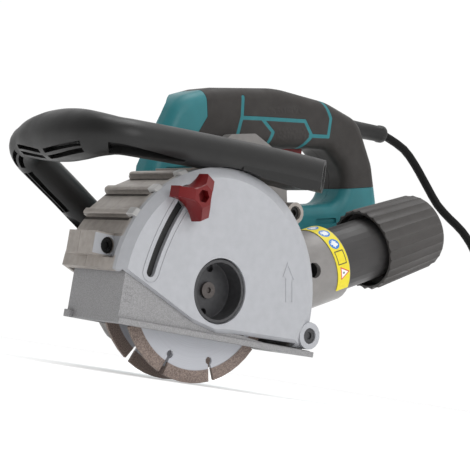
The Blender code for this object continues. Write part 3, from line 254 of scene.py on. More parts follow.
INLAYS = (((98.4, 131), (96.7, 116.3), (91.5, 103)), ((96.6, 115.7), (116.1, 114.8), (160.1, 112.2)),
          ((116.9, 114.2), (126.8, 104.3), (121.5, 95)), ((160.1, 112.2), (166.8, 100.7), (156.3, 91)),
          ((165, 100.8), (184.3, 99.7), (187.8, 113.8), (182, 128)))
INLAY_HALF = 0.0013                     # metres
PANELS = (((122, 117.5), (158, 124)), ((129.5, 97), (161, 108)))
PANEL_FADE = 2.0
TEAL_COLOUR = (0.022, 0.168, 0.190)


def make_grip_rubber():
    """Rubber with coloured lines let into its sides and two dimpled panels."""
    g = Graph("grip_rubber")
    lean = math.radians(HANDLE_PITCH)
    across, up = g.axes(TOOL.translation, (math.cos(lean), 0, math.sin(lean)),
                        (-math.sin(lean), 0, math.cos(lean)))
    gaps = [line_distance(g, across, up, points) for points in INLAYS]
    nearest = gaps[0]
    for gap in gaps[1:]:
        nearest = g.math("MINIMUM", nearest, gap)
    line = g.fit(nearest, INLAY_HALF, INLAY_HALF + 0.0003, 1.0, 0.0)
    rubber = g.speckle((0.028, 0.0245, 0.0225), 0.12, 150.0)
    teal = g.speckle(TEAL_COLOUR, 0.06, 150.0)
    made = g.finish(g.mix(line, rubber, teal), 0.60, 0.0, 0.0, 0.0, shine=0.35)
    dimples = g.node("ShaderNodeTexVoronoi", feature="SMOOTH_F1")
    dimples.inputs["Scale"].default_value = 420.0
    g.link(g.place, dimples.inputs["Vector"])
    panel = None
    for (x0, z0), (x1, z1) in PANELS:
        inside = g.fit(across, x0 * MM, (x0 + PANEL_FADE) * MM)
        inside = g.math("MULTIPLY", inside, g.fit(across, (x1 - PANEL_FADE) * MM, x1 * MM, 1, 0))
        inside = g.math("MULTIPLY", inside, g.fit(up, z0 * MM, (z0 + PANEL_FADE) * MM))
        inside = g.math("MULTIPLY", inside, g.fit(up, (z1 - PANEL_FADE) * MM, z1 * MM, 1, 0))
        panel = inside if panel is None else g.math("MAXIMUM", panel, inside)
    height = g.math("MULTIPLY", dimples.outputs["Distance"], panel)
    height = g.math("ADD", height, g.math("MULTIPLY", g.noise(1300.0, 3.0), 0.06))
    height = g.math("SUBTRACT", height, g.fit(nearest, INLAY_HALF, INLAY_HALF + 0.0008, 0.6, 0.0))
    bump = g.node("ShaderNodeBump")
    bump.inputs["Distance"].default_value = 0.0006
    g.link(height, bump.inputs["Height"])
    g.link(bump.outputs["Normal"], g.shader.inputs["Normal"])
    return made


LABEL_R = 0.0285                        # metres, as all lengths of the label
LABEL_BACK = 0.048                      # middle of the band, behind the rim of the adapter
DISCS = (0.0475, 0.0595, 0.0710)        # round the collar from its far side
BOX_AT = 0.0820
TRIANGLE_AT = 0.0935


def make_label_print():
    """Yellow film with three blue discs, an outlined box and a red triangle."""
    g = Graph("label_print")
    lean = math.radians(PORT_PITCH)
    x_dir, z_dir = Vector((math.cos(lean), 0, math.sin(lean))), Vector((-math.sin(lean), 0, math.cos(lean)))
    along, across, up = g.axes(PORT.translation, x_dir, (0, 1, 0), z_dir)
    turn = g.math("ARCTAN2", up, across)
    turn = g.math("ADD", turn, g.math("MULTIPLY", g.math("LESS_THAN", turn, 0.0), math.tau))
    arc_length = g.math("MULTIPLY", turn, LABEL_R)
    across_band = g.math("ADD", along, LABEL_BACK)
    yellow = g.speckle((0.72, 0.60, 0.015), 0.05, 300.0)
    colour = yellow
    for centre in DISCS:
        gap = disc_distance(g, arc_length, across_band, centre)
        colour = g.mix(g.fit(gap, 0.0042, 0.0044, 1.0, 0.0), colour, (0.010, 0.165, 0.52))
        inner = g.math("ADD", gap, g.fit(g.noise(900.0, 1.0), 0.4, 0.6, -0.0006, 0.0006))
        colour = g.mix(g.fit(inner, 0.0024, 0.0027, 1.0, 0.0), colour, (0.72, 0.74, 0.76))
    box = box_distance(g, arc_length, across_band, BOX_AT, 0.0048, 0.0038)
    colour = g.mix(g.fit(g.math("ABSOLUTE", box), 0.0003, 0.0005, 1.0, 0.0), colour,
                   (0.05, 0.045, 0.02))
    triangle = triangle_distance(g, arc_length, across_band, TRIANGLE_AT)
    colour = g.mix(g.fit(triangle, 0.0028, 0.0030, 1.0, 0.0), colour, (0.55, 0.03, 0.03))
    colour = g.mix(g.fit(triangle, 0.0020, 0.0022, 1.0, 0.0), colour, (0.78, 0.78, 0.76))
    mark = disc_distance(g, arc_length, across_band, TRIANGLE_AT)
    colour = g.mix(g.fit(mark, 0.0007, 0.0009, 1.0, 0.0), colour, (0.03, 0.03, 0.03))
    return g.finish(colour, 0.45, 0.0, 0.0, 0.0)


def disc_distance(g, arc_length, across_band, centre):
    a = g.math("SUBTRACT", arc_length, centre)
    return g.math("SQRT", g.math("ADD", g.math("MULTIPLY", a, a),
                                 g.math("MULTIPLY", across_band, across_band)))


def box_distance(g, arc_length, across_band, centre, half_long, half_wide):
    a = g.math("SUBTRACT", g.math("ABSOLUTE", g.math("SUBTRACT", arc_length, centre)), half_long)
    b = g.math("SUBTRACT", g.math("ABSOLUTE", across_band), half_wide)
    return g.math("MAXIMUM", a, b)


def triangle_distance(g, arc_length, across_band, centre):
    a = g.math("SUBTRACT", arc_length, centre)
    sides = []
    for angle in (180, 60, -60):
        c, s = math.cos(math.radians(angle)), math.sin(math.radians(angle))
        sides.append(g.math("ADD", g.math("MULTIPLY", across_band, c), g.math("MULTIPLY", a, s)))
    return g.math("MAXIMUM", sides[0], g.math("MAXIMUM", sides[1], sides[2]))


def make_materials():
    made = {
        "cast_aluminium": plain("cast_metal", (0.225, 0.215, 0.208), 0.42, 0.35, 0.06, 150.0, 0.00003,
                                800.0),
        # lighter copy of the cast metal for the rib tabs: painted highlight
        "painted_highlight_tab": plain("painted_highlight_tab", (0.46, 0.455, 0.45), 0.38, 0.3, 0.06, 150.0, 0.00003, 800.0),
        "raw_casting": make_shroud_metal(),
        "bright_steel": plain("bright_steel", (0.40, 0.40, 0.41), 0.32, 0.9, 0.08, 400.0, 0.00001,
                              1500.0),
        "black_steel": plain("black_steel", (0.050, 0.050, 0.053), 0.42, 0.3, 0.15, 300.0, 0.00001,
                             900.0),
        "dark_screw": plain("dark_screw", (0.090, 0.078, 0.074), 0.45, 0.4, 0.15, 400.0, 0.00002,
                            900.0),
        "teal_plastic": plain("teal_plastic", TEAL_COLOUR, 0.45, 0.0, 0.06, 80.0, 0.00003, 1600.0,
                              0.35),
        "black_plastic": plain("black_plastic", (0.036, 0.034, 0.034), 0.45, 0.0, 0.08, 90.0, 0.00003,
                               1500.0, 0.4),
        "bail_plastic": plain("bail_plastic", (0.0105, 0.0103, 0.0102), 0.42, 0.0, 0.08, 90.0, 0.00004,
                              1500.0, 0.32),
        "black_rubber": plain("black_rubber", (0.046, 0.042, 0.040), 0.52, 0.0, 0.10, 120.0, 0.00003,
                              1200.0, 0.4),
        "cord_rubber": plain("cord_rubber", (0.0035, 0.0035, 0.0033), 0.60, 0.0, 0.12, 120.0, 0.00003,
                             1200.0, 0.15),
        "red_plastic": plain("red_plastic", (0.130, 0.0035, 0.0045), 0.40, 0.0, 0.06, 90.0, 0.00002,
                             1300.0, 0.35),
        "copper": plain("copper", (0.72, 0.33, 0.16), 0.35, 1.0, 0.08, 300.0, 0.00001, 1200.0),
        "laminated_steel": plain("laminated_steel", (0.22, 0.22, 0.23), 0.50, 0.9, 0.10, 300.0, 0.00003,
                                 900.0),
        "carbon": plain("carbon", (0.03, 0.03, 0.03), 0.60, 0.0, 0.15, 500.0, 0.00002, 1200.0),
        "blade_steel": make_blade_metal(),
        "cover": make_cover_metal(),
        "grip": make_grip_rubber(),
        "yellow_label": make_label_print(),
    }
    return made


def paint(piece, finish):
    if not piece.data.materials:
        piece.data.materials.append(finish)
    for slot in piece.material_slots:
        slot.material = finish


# ---- outlines and solids ---------------------------------------------------------------------------
def arc(x, z, r, start, end, steps):
    turn = math.radians(end - start) / steps
    first = math.radians(start)
    return [(x + r * math.cos(first + k * turn), z + r * math.sin(first + k * turn)) for k in range(steps + 1)]


def circle(x, z, r, steps=48):
    return arc(x, z, r, 0, 360, steps)[:-1]


def rounded(corners, steps=10):
    """Outline through (x, z, radius) corners, each one filleted to its radius."""
    points = []
    for k, (x, z, r) in enumerate(corners):
        here = Vector((x, z))
        before = (Vector(corners[k - 1][:2]) - here).normalized()
        after = (Vector(corners[(k + 1) % len(corners)][:2]) - here).normalized()
        half = before.angle(after) / 2
        if r <= 0:
            points.append((x, z))
            continue
        centre = here + (before + after).normalized() * (r / math.sin(half))
        reach = r / math.tan(half)
        spoke = here + before * reach - centre
        sweep = spoke.angle_signed(here + after * reach - centre)
        for step in range(steps + 1):
            points.append(tuple(centre + Matrix.Rotation(-sweep * step / steps, 2) @ spoke))
    return points


def offset(outline, distance):
    moved = []
    count = len(outline)
    for k in range(count):
        here = Vector(outline[k])
        into = (here - Vector(outline[k - 1])).normalized()
        out = (Vector(outline[(k + 1) % count]) - here).normalized()
        normal = Vector((-(into + out).y, (into + out).x)).normalized()
        lean = max(0.3, normal.dot(Vector((-into.y, into.x))))
        moved.append(tuple(here + normal * (distance / lean)))
    return moved


def add_object(name, mesh_data, place=TOOL, smooth=40):
    """A bmesh built in millimetres in the given frame becomes an object in the row frame."""
    bmesh.ops.recalc_face_normals(mesh_data, faces=mesh_data.faces)
    mesh = bpy.data.meshes.new(name)
    mesh_data.to_mesh(mesh)
    mesh_data.free()
    mesh.transform(place @ Matrix.Scale(MM, 4))
    return add_mesh(name, mesh, smooth)


def add_mesh(name, mesh, smooth=40):
    mesh.shade_smooth()
    mesh.set_sharp_from_angle(angle=math.radians(smooth))
    made = bpy.data.objects.new(name, mesh)
    bpy.context.scene.collection.objects.link(made)
    return made


def skin(mesh_data, rings):
    for low, high in zip(rings, rings[1:]):
        count = len(low)
        for k in range(count):
            mesh_data.faces.new((low[k], low[(k + 1) % count], high[(k + 1) % count], high[k]))


def loft(name, rings, place=TOOL, smooth=40):
    mesh_data = bmesh.new()
    made = [[mesh_data.verts.new(p) for p in ring] for ring in rings]
    skin(mesh_data, made)
    mesh_data.faces.new(made[0])
    mesh_data.faces.new(list(reversed(made[-1])))
    return add_object(name, mesh_data, place, smooth)


def prism(name, outline, y0, y1, place=TOOL, smooth=40):
    return loft(name, [[(x, y, z) for x, z in outline] for y in (y0, y1)], place, smooth)


def turned(name, profile, place=TOOL, at=(0, 0, 0), axis="Y", steps=64, smooth=40):
    """A closed (radius, height) profile turned about an axis through `at`."""
    mesh_data = bmesh.new()
    rings = []
    for r, h in profile:
        angles = [0.0] if r == 0 else [math.tau * k / steps for k in range(steps)]
        rings.append([mesh_data.verts.new(Vector(at) + Vector(axis_point(r, h, a, axis))) for a in angles])
    for low, high in zip(rings, rings[1:] + rings[:1]):
        for k in range(steps):
            corners = [low[k % len(low)], low[(k + 1) % len(low)], high[(k + 1) % len(high)],
                       high[k % len(high)]]
            corners = list(dict.fromkeys(corners))
            if len(corners) > 2:
                mesh_data.faces.new(corners)
    return add_object(name, mesh_data, place, smooth)


def axis_point(r, h, angle, axis):
    across, up = r * math.cos(angle), r * math.sin(angle)
    return {"X": (h, across, up), "Y": (across, h, up), "Z": (across, up, h)}[axis]


def soft_prism(name, outline, hole, y0, y1, edge0, edge1, place):
    layers = [(y0 + e, i) for e, i in round_steps(edge0)] if edge0 else [(y0, 0)]
    layers += [(y1 - e, i) for e, i in reversed(round_steps(edge1))] if edge1 else [(y1, 0)]
    mesh_data = bmesh.new()
    loops = []
    for path, sign in ((outline, 1), (hole, -1)):
        loops.append([[mesh_data.verts.new((x, y, z)) for x, z in offset(path, sign * inset)]
                      for y, inset in layers])
        skin(mesh_data, loops[-1])
    for end in (0, -1):
        rims = [loop[end] for loop in loops]
        edges = [mesh_data.edges.get((r[k], r[k - 1])) for r in rims for k in range(len(r))]
        bmesh.ops.triangle_fill(mesh_data, use_beauty=True, edges=edges)
    return add_object(name, mesh_data, place)


def round_steps(edge, steps=5):
    angles = [math.pi / 2 * k / steps for k in range(steps + 1)]
    return [(edge * (1 - math.cos(a)), edge * (1 - math.sin(a))) for a in angles]


def carve(target, operation, *tools, smooth=40):
    """Boolean operations, applied at once; the tools go away."""
    for tool in tools:
        step = target.modifiers.new(operation.lower(), "BOOLEAN")
        step.operation = operation
        step.solver = "EXACT"
        step.object = tool
    apply_modifiers(target, smooth)
    for tool in tools:
        bpy.data.objects.remove(tool, do_unlink=True)
    return target


def apply_modifiers(target, smooth=40):
    bpy.context.view_layer.update()
    mesh = bpy.data.meshes.new_from_object(target.evaluated_get(bpy.context.evaluated_depsgraph_get()))
    target.modifiers.clear()
    target.data = mesh
    mesh.shade_smooth()
    mesh.set_sharp_from_angle(angle=math.radians(smooth))


def soften(target, width, segments=2, angle=35):
    step = target.modifiers.new("bevel", "BEVEL")
    step.width = width * MM
    step.segments = segments
    step.limit_method = "ANGLE"
    step.angle_limit = math.radians(angle)
    step.use_clamp_overlap = True
    step.harden_normals = False
    even = target.modifiers.new("normals", "WEIGHTED_NORMAL")
    even.keep_sharp = True
    return target


def stand_in(piece, node, body, finish):
    """The piece takes the place of a plainer node of the model."""
    paint(piece, finish)
    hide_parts(node)
    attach(piece, body)
    return piece


def refine(node, body, finish, edge=0.35, segments=2, smooth=32):
    """The node's own shape with small rounded edges and smooth rounds."""
    mesh_data = bmesh.new()
    mesh_data.from_mesh(NODES[node].data)
    bmesh.ops.remove_doubles(mesh_data, verts=mesh_data.verts, dist=0.000002)
    bmesh.ops.dissolve_limit(mesh_data, angle_limit=0.01, verts=mesh_data.verts, edges=mesh_data.edges)
    mesh = bpy.data.meshes.new(node + "_fine")
    mesh_data.to_mesh(mesh)
    mesh_data.free()
    mesh.materials.clear()
    piece = add_mesh(node + "_fine", mesh, smooth)
    soften(piece, edge, segments, smooth)
    return stand_in(piece, node, body, finish)


# ---- cord ------------------------------------------------------------------------------------------
CORD_D = 7.0
ROUTE = (
    (230.2, 104, 163.1), (239, 104, 161.6), (257, 103, 156.6), (271, 101, 146.4), (285.6, 97, 130.4),
    (295, 91, 116.6), (305, 84, 106.6), (314, 76, 97.5), (324, 68, 82), (331, 60, 58), (336, 52, 28),
    (340, 45, -2), (345, 37, -29), (353, 28, -48), (365, 16, -57.5), (378, 3, -59), (391.2, -10.3, -59))
HEADING = 45.0
COIL_RADII = (48.0, 40.8, 33.6)
COIL_CENTRE = (357.259, -44.241)
COIL_LOW, COIL_HIGH = -59.0, -44.6


def smooth_path(route, spacing):
    """Points along a Catmull-Rom curve through the route, about `spacing` apart."""
    ends = [Vector(p) for p in route]
    ends = [2 * ends[0] - ends[1]] + ends + [2 * ends[-1] - ends[-2]]
    points = []
    for p0, p1, p2, p3 in zip(ends, ends[1:], ends[2:], ends[3:]):
        steps = max(1, round((p2 - p1).length / spacing))
        for k in range(steps):
            t = k / steps
            points.append(0.5 * ((2 * p1) + (p2 - p0) * t + (2 * p0 - 5 * p1 + 4 * p2 - p3) * t ** 2
                                 + (3 * p1 - p0 - 3 * p2 + p3) * t ** 3))
    points.append(ends[-2])
    return points


def coil_points(per_turn=48, turns=2, shift=60.0):
    """Three columns of turns, each one wound inside the last, up, down and up again."""
    points = []
    for column, radius in enumerate(COIL_RADII):
        start, end = (COIL_LOW, COIL_HIGH) if column % 2 == 0 else (COIL_HIGH, COIL_LOW)
        for k in range(per_turn * turns):
            swept = 360.0 * k / per_turn
            angle = math.radians(HEADING - 360.0 * turns * column - swept)
            rise = max(0.0, swept - shift * (column > 0)) / (360.0 * turns - shift * (column > 0))
            inward = min(1.0, swept / shift) if column else 1.0
            inward = inward * inward * (3 - 2 * inward)
            before = COIL_RADII[column - 1] if column else radius
            r = before + (radius - before) * inward
            points.append(Vector((COIL_CENTRE[0] + r * math.cos(angle),
                                  COIL_CENTRE[1] + r * math.sin(angle),
                                  start + (end - start) * rise)))
    return points


def tail_points():
    spoke = Vector((math.cos(math.radians(HEADING)), math.sin(math.radians(HEADING)), 0))
    along = Vector((spoke.y, -spoke.x, 0))
    centre = Vector((*COIL_CENTRE, COIL_HIGH))
    steps = ((33.6, 0, 0), (31.5, 10, 1.4), (25, 19, 6.0), (15.5, 25, 15.4), (5, 27.5, 19.5),
             (-4, 27.8, 20.6), (-13, 27.8, 20.6), (-22, 27.8, 20.6))
    return smooth_path([centre + spoke * a + along * b + Vector((0, 0, c)) for a, b, c in steps], 3.0)


def make_cord(finish):
    """One length of cord from the strain relief to the plug, wound into a coil beside the tool."""
    points = smooth_path(ROUTE, 8.0)[:-1] + coil_points() + tail_points()
    curve = bpy.data.curves.new("cord", "CURVE")
    curve.dimensions = "3D"
    curve.bevel_depth = CORD_D / 2 * MM
    curve.bevel_resolution = 4
    curve.use_fill_caps = True
    spline = curve.splines.new("POLY")
    spline.points.add(len(points) - 1)
    for knot, point in zip(spline.points, points):
        knot.co = (*(TOOL @ (point * MM)), 1.0)
    spline.use_smooth = True
    curve.materials.append(finish)
    cord = bpy.data.objects.new("cord", curve)
    bpy.context.scene.collection.objects.link(cord)
    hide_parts("power_cord", "cord_coil", "cord_tail")
    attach(cord, "main_body")


# ---- bail handle -----------------------------------------------------------------------------------
BAIL_PATH = (
    (100, 11, 95.6), (82, 11, 95.0), (60, 11, 94.2), (30, 11, 92.6), (0, 11, 90.6), (-40, 11, 87.6),
    (-70, 11, 85.2), (-88, 13, 83.8), (-98, 24, 83.0), (-100, 40, 83.0), (-100, 58, 83.0),
    (-100, 78, 82.8), (-100, 96, 81.8), (-98, 109, 79.0), (-90, 117, 73.8), (-76, 119, 66.5),
    (-58, 119, 56.5), (-40, 119, 46.0), (-22, 119, 36.0), (-2, 119, 30.0))
MOTOR_R = 43.0
MOTOR_AT = (38, 0, 22)
FAR_SCREW_AT = (-8, 119, 33)
BAIL_R = 11.8
BULGE_R = 17.3


def bail_radius(point):
    if point.x > -86:
        return BAIL_R
    share = min(1.0, max(0.0, (point.y - 14) / 88))
    return BAIL_R + (BULGE_R - BAIL_R) * math.sin(math.pi * share) ** 0.8


def path_frame(points, k):
    ahead = points[min(k + 1, len(points) - 1)] - points[max(k - 1, 0)]
    side = ahead.cross(Vector((0, 0, 1))).normalized()
    return side, side.cross(ahead).normalized()


def window(name, points, chosen, angle_at, half_at, depth=6.0):
    """Cutter for a long window in the underside, along the chosen stretch of the path."""
    rings = []
    for k in chosen:
        share = (k - chosen[0]) / (chosen[-1] - chosen[0])
        side, up = path_frame(points, k)
        angle = math.radians(angle_at(share))
        out = -side * math.cos(angle) - up * math.sin(angle)
        across = side * math.sin(angle) - up * math.cos(angle)
        r, half = bail_radius(points[k]), half_at(share)
        rings.append([points[k] + out * (r + level) + across * (half * turn)
                      for level, turn in ((-depth, -1), (3, -1), (3, 1), (-depth, 1))])
    return loft(name, rings)


def stretch(points, test):
    return [k for k, p in enumerate(points) if test(p)]


def bail_windows(points):
    near = stretch(points, lambda p: p.y < 18 and -95 < p.x < -42)
    near_bulge = stretch(points, lambda p: p.x < -90 and 24 < p.y < 65)
    far_bulge = stretch(points, lambda p: p.x < -90 and 68 < p.y < 101)
    corner = stretch(points, lambda p: p.y > 105 and p.x < -88)
    far = stretch(points, lambda p: p.y > 114 and -86 < p.x < -47)
    return [
        window("near_upper", points, near, lambda s: 54 - 12 * s, lambda s: 0.6 + 1.9 * s),
        window("near_lower", points, near, lambda s: 56 + 9 * s, lambda s: 0.5 + 1.8 * s),
        window("bulge_upper_a", points, near_bulge, lambda s: 36 + 12 * s, lambda s: 1.7),
        window("bulge_lower_a", points, near_bulge, lambda s: 56 + 12 * s, lambda s: 1.9),
        window("bulge_upper_b", points, far_bulge, lambda s: 49 - 14 * s, lambda s: 1.6),
        window("bulge_lower_b", points, far_bulge, lambda s: 68 - 10 * s, lambda s: 1.8),
        window("corner_upper", points, corner, lambda s: 48 + 18 * s, lambda s: 1.7),
        window("corner_lower", points, corner, lambda s: 72 + 22 * s, lambda s: 1.7),
        window("far_upper", points, far, lambda s: 88, lambda s: 1.8),
        window("far_lower", points, far, lambda s: 110, lambda s: 1.9),
    ]


def rod(r, low, high):
    """Profile of a solid cylinder."""
    return [(0, low), (r, low), (r, high), (0, high)]


def slanted_end():
    """Cutter that leaves the open end of the arm longer on its far side."""
    corners = [Vector((71.0, -3.0)), Vector((100.0, 24.5)), Vector((130.0, 24.5)),
               Vector((130.0, -3.0))]
    return loft("slanted_end", [[Vector((c.x, c.y, z)) for c in corners] for z in (75.0, 115.0)])


def make_bail(finish):
    points = smooth_path(BAIL_PATH, 3.0)
    rings = []
    for k, point in enumerate(points):
        side, up = path_frame(points, k)
        r = bail_radius(point)
        rings.append([point + r * (math.cos(a) * side + math.sin(a) * up)
                      for a in (math.tau * s / 40 for s in range(40))])
    bail = loft("bail", rings, smooth=50)
    foot = rounded([(4, 80.5, 2), (62, 80.5, 3), (78, 84, 3), (78, 92, 0), (4, 92, 0)], 4)
    carve(bail, "UNION", prism("bail_foot", foot, 1, 21), smooth=50)
    guard_r, motor_r = GUARD_R + GAP, MOTOR_R + GAP
    carve(bail, "DIFFERENCE",
          turned("guard_fit", rod(guard_r, -20, 60), TOOL, GUARD_AT, steps=160),
          turned("motor_fit", rod(motor_r, 90, 150), BODY, MOTOR_AT),
          turned("end_hole", rod(9.4, 0, 50), TOOL, (60, 11, 94.4), "X"),
          slanted_end(),
          turned("foot_bore", rod(3.2, 70, 94), TOOL, (8, 11, 0), "Z"),
          turned("far_bore", rod(3.2, -60, 10), TOOL, FAR_SCREW_AT, "X"),
          turned("far_recess", rod(6, -60, -24), TOOL, FAR_SCREW_AT, "X"),
          *bail_windows(points), smooth=50)
    soften(bail, 0.6, 2, 40)
    return stand_in(bail, "bail_handle", "main_body", finish)


# ---- D-handle --------------------------------------------------------------------------------------
HANDLE_Y = 106.0
HANDLE_NEAR, HANDLE_FAR = 86.0, 126.0
HANDLE_EDGE = 9.0
RUBBER_T = 1.9
SEAM = 0.15


def handle_outline():
    return rounded([(4, 40, 14), (60, 22, 14), (100, 14, 14), (232, 16, 14), (240, 44, 14),
                    (236, 76, 30), (222, 112, 22), (188, 127, 60), (136, 138, 90), (72, 138.5, 20),
                    (40, 132, 26), (20, 100, 26), (8, 76, 20)], 10)


def handle_opening():
    return rounded([(104, 48, 12), (201.5, 46.5, 16), (203, 72, 18), (186, 90, 12), (104, 93, 12)], 8)


def handle_solid(name, inset, y0, y1, edge0, edge1):
    outline, hole = offset(handle_outline(), inset), offset(handle_opening(), -inset)
    return soft_prism(name, outline, hole, y0, y1, edge0, edge1, BODY)


def rubber_zone(grow=0.0):
    """The part of the handle that the rubber covers: grip and upper rear post."""
    nose_edge = [(61 - grow, 160), (64 - grow, 130), (64 - grow, 117), (52 - grow, 102),
                 (44 - grow, 84 - grow)]
    post_edge = [(150, 84 - grow), (188, 58 - grow), (260, 58 - grow), (260, 160)]
    return prism("rubber_zone", nose_edge + post_edge, 60, 160, BODY)


NOSE_SLOPE = ((20, 3), (83, 6), (99, 16), (115, 27), (121, 31), (128, 35), (160, 36))


def nose_slope():
    """Cutter that slopes the front of the handle back upwards and towards its far side."""
    rings = []
    for z, x in NOSE_SLOPE:
        corners = ((x - 14, 85), (x + 30, 129), (-60, 129), (-60, 85))
        rings.append([Vector((*corner, z)) for corner in corners])
    return loft("nose_slope", rings, BODY)


def handle_room(y0, y1):
    """Hollow of the grip and the rear post."""
    room = rounded([(66, 77, 3), (90, 78, 8), (96, 100, 4), (180, 98, 10), (204, 92, 8), (209.5, 74, 8),
                    (209.5, 40, 6), (228, 40, 6), (225, 74, 10), (214, 104, 10), (186, 118, 30),
                    (136, 129, 40), (80, 129.5, 8), (66, 124, 6)], 4)
    return prism("handle_room", room, y0, y1, BODY)


def motor_clearance():
    return turned("motor_clearance", rod(MOTOR_R + GAP, 60, 140), BODY, MOTOR_AT)


def trigger_slot():
    slot = [(106, 80), (173, 80), (173, 110), (106, 110)]
    return prism("trigger_slot", slot, HANDLE_Y - 7.5, HANDLE_Y + 7.5, BODY)


def boot_bore():
    return turned("boot_bore", [(0, -12), (7.3, -12), (7.3, 30), (0, 30)], BOOT, axis="X", steps=32)


def button_bore():
    return prism("button_bore", circle(176, 112, 5.4, 32), 118, 140, BODY)


def make_handle_half(side, y0, y1, edge0, edge1, teal, grip):
    shell = handle_solid(f"handle_{side}", 0, y0, y1, edge0, edge1)
    carve(shell, "DIFFERENCE", rubber_zone(GAP))
    core_y0 = y0 + (RUBBER_T + GAP if edge0 else 0)
    core_y1 = y1 - (RUBBER_T + GAP if edge1 else 0)
    core = handle_solid("core", RUBBER_T + GAP, core_y0, core_y1, edge0 and edge0 - 1.5,
                        edge1 and edge1 - 1.5)
    carve(shell, "UNION", core)
    inner = (HANDLE_NEAR + 6, y1 + 1) if edge0 else (y0 - 1, HANDLE_FAR - 6)
    cuts = [handle_room(*inner), motor_clearance(), trigger_slot(), boot_bore()]
    cuts += side_features(side)
    if side == "far":
        cuts.append(button_bore())
    cuts.append(nose_slope())
    carve(shell, "DIFFERENCE", *cuts)
    soften(shell, 0.3, 2, 45)
    stand_in(shell, f"handle_shell_{side}", "main_body", teal)
    rubber = handle_solid(f"grip_{side}", 0, y0, y1, edge0, edge1)
    carve(rubber, "INTERSECT", rubber_zone())
    hollow_y0 = y0 + RUBBER_T if edge0 else y0 - 1
    hollow_y1 = y1 - RUBBER_T if edge1 else y1 + 1
    hollow = handle_solid("hollow", RUBBER_T, hollow_y0, hollow_y1, edge0 and edge0 - 1.5,
                          edge1 and edge1 - 1.5)
    cuts = [hollow, trigger_slot(), boot_bore()]
    if side == "far":
        cuts.append(button_bore())
    carve(rubber, "DIFFERENCE", *cuts)
    soften(rubber, 0.4, 2, 45)
    stand_in(rubber, f"grip_rubber_{side}", "main_body", grip)


def side_features(side):
    """Slots and grooves moulded into the outer side of the shell."""
    y0, y1 = (HANDLE_NEAR - 1, HANDLE_NEAR + 1.6) if side == "near" else (HANDLE_FAR - 1.6, HANDLE_FAR + 1)
    strut = rounded([(168, 31.5, 1.5), (190, 31.0, 1.5), (190, 35.5, 1.5), (168, 36.0, 1.5)], 4)
    nose = rounded([(24, 78, 1.2), (50, 78, 1.2), (50, 81.5, 1.2), (24, 81.5, 1.2)], 4)
    return [prism("side_slot", outline, y0, y1, BODY) for outline in (strut, nose)]


# ---- knob, dust adapter and strain relief ----------------------------------------------------------
def lobed(root, reach, half, steps=10):
    """Three flat-ended arms, hollow between them: one to the front and two to the rear."""
    points = []
    for k in range(3):
        arm = Matrix.Rotation(math.radians(180 + 120 * k), 2)
        after = Matrix.Rotation(math.radians(180 + 120 * (k + 1)), 2)
        start, end = arm @ Vector((reach, half)), after @ Vector((reach, -half))
        between = Matrix.Rotation(math.radians(240 + 120 * k), 2)
        middle = between @ Vector((2 * root, 0)) - (start + end) / 2
        points.append(tuple(arm @ Vector((reach, -half))))
        for step in range(steps + 1):
            t = step / steps
            points.append(tuple(start * (1 - t) ** 2 + middle * (2 * t * (1 - t)) + end * t ** 2))
        points.pop()
    return points


KNOB_AT = (-126.61, 0, 73.1)


def make_knob(finish):
    """Lofted from its flat back to the raised middle of its face."""
    layers = ((-2.2, 6.6, 14.6, 3.2), (-3.2, 7.0, 15.9, 3.7), (-12.2, 6.9, 15.7, 3.6),
              (-13.2, 6.6, 14.8, 3.2), (-17.2, 6.4, 8.0, 3.5), (-18.0, 6.0, 6.8, 3.2))
    at = Vector(KNOB_AT)
    rings = []
    for y, root, reach, half in layers:
        rings.append([at + Vector((x, y, z)) for x, z in lobed(root, reach, half)])
    knob = loft("clamp_knob", rings, SHROUD, smooth=25)
    carve(knob, "DIFFERENCE", prism("knob_hex", circle(at.x, at.z, 4.4, 6), -20, -12.5, SHROUD),
          prism("knob_bore", circle(at.x, at.z, 3.2, 32), -10.4, 0, SHROUD), smooth=25)
    return stand_in(knob, "depth_knob", "knob", finish)


FLUTES = 26


def make_adapter(finish):
    """Tapered sleeve with long flutes outside and a stepped bore."""
    length, r0, r1 = 62.0, 31.0, 29.0
    steps = FLUTES * 10
    outer = [(0.0, r0 - 0.4, 1.3), (1.0, r0, 1.3)]
    outer += [(x, r0 + (r1 - r0) * x / length, 1.3 - 0.4 * x / length) for x in (20.0, 40.0, length - 3.0)]
    outer += [(length - 1.2, r1 - 0.5, 0.4), (length, r1 - 1.5, 0.0)]
    inner = [(length, 25.5), (44, 25.5), (40, 23.8), (12, 23.8), (9, 28.0), (0, 28.0)]
    mesh_data = bmesh.new()
    rings = []
    for x, r, depth in outer + [(x, r, 0.0) for x, r in inner]:
        ring = []
        for k in range(steps):
            flute = depth * abs(math.sin(FLUTES * math.pi * k / steps)) ** 0.7
            ring.append(mesh_data.verts.new(axis_point(r - flute, x, math.tau * k / steps, "X")))
        rings.append(ring)
    skin(mesh_data, rings + [rings[0]])
    sleeve = add_object("hose_sleeve", mesh_data, PORT, 30)
    return stand_in(sleeve, "dust_adapter", "adapter", finish)


def make_boot(finish):
    bore_r = CORD_D / 2 + GAP
    profile = [(bore_r, -8), (7.0, -8), (7.0, 0), (6.8, 6), (6.5, 30), (7.1, 31), (7.2, 32),
               (7.2, 34.5), (6.9, 35.5), (6.2, 36), (bore_r, 36)]
    boot = turned("strain_relief", profile, BOOT, axis="X", steps=48)
    return stand_in(boot, "cord_boot", "main_body", finish)


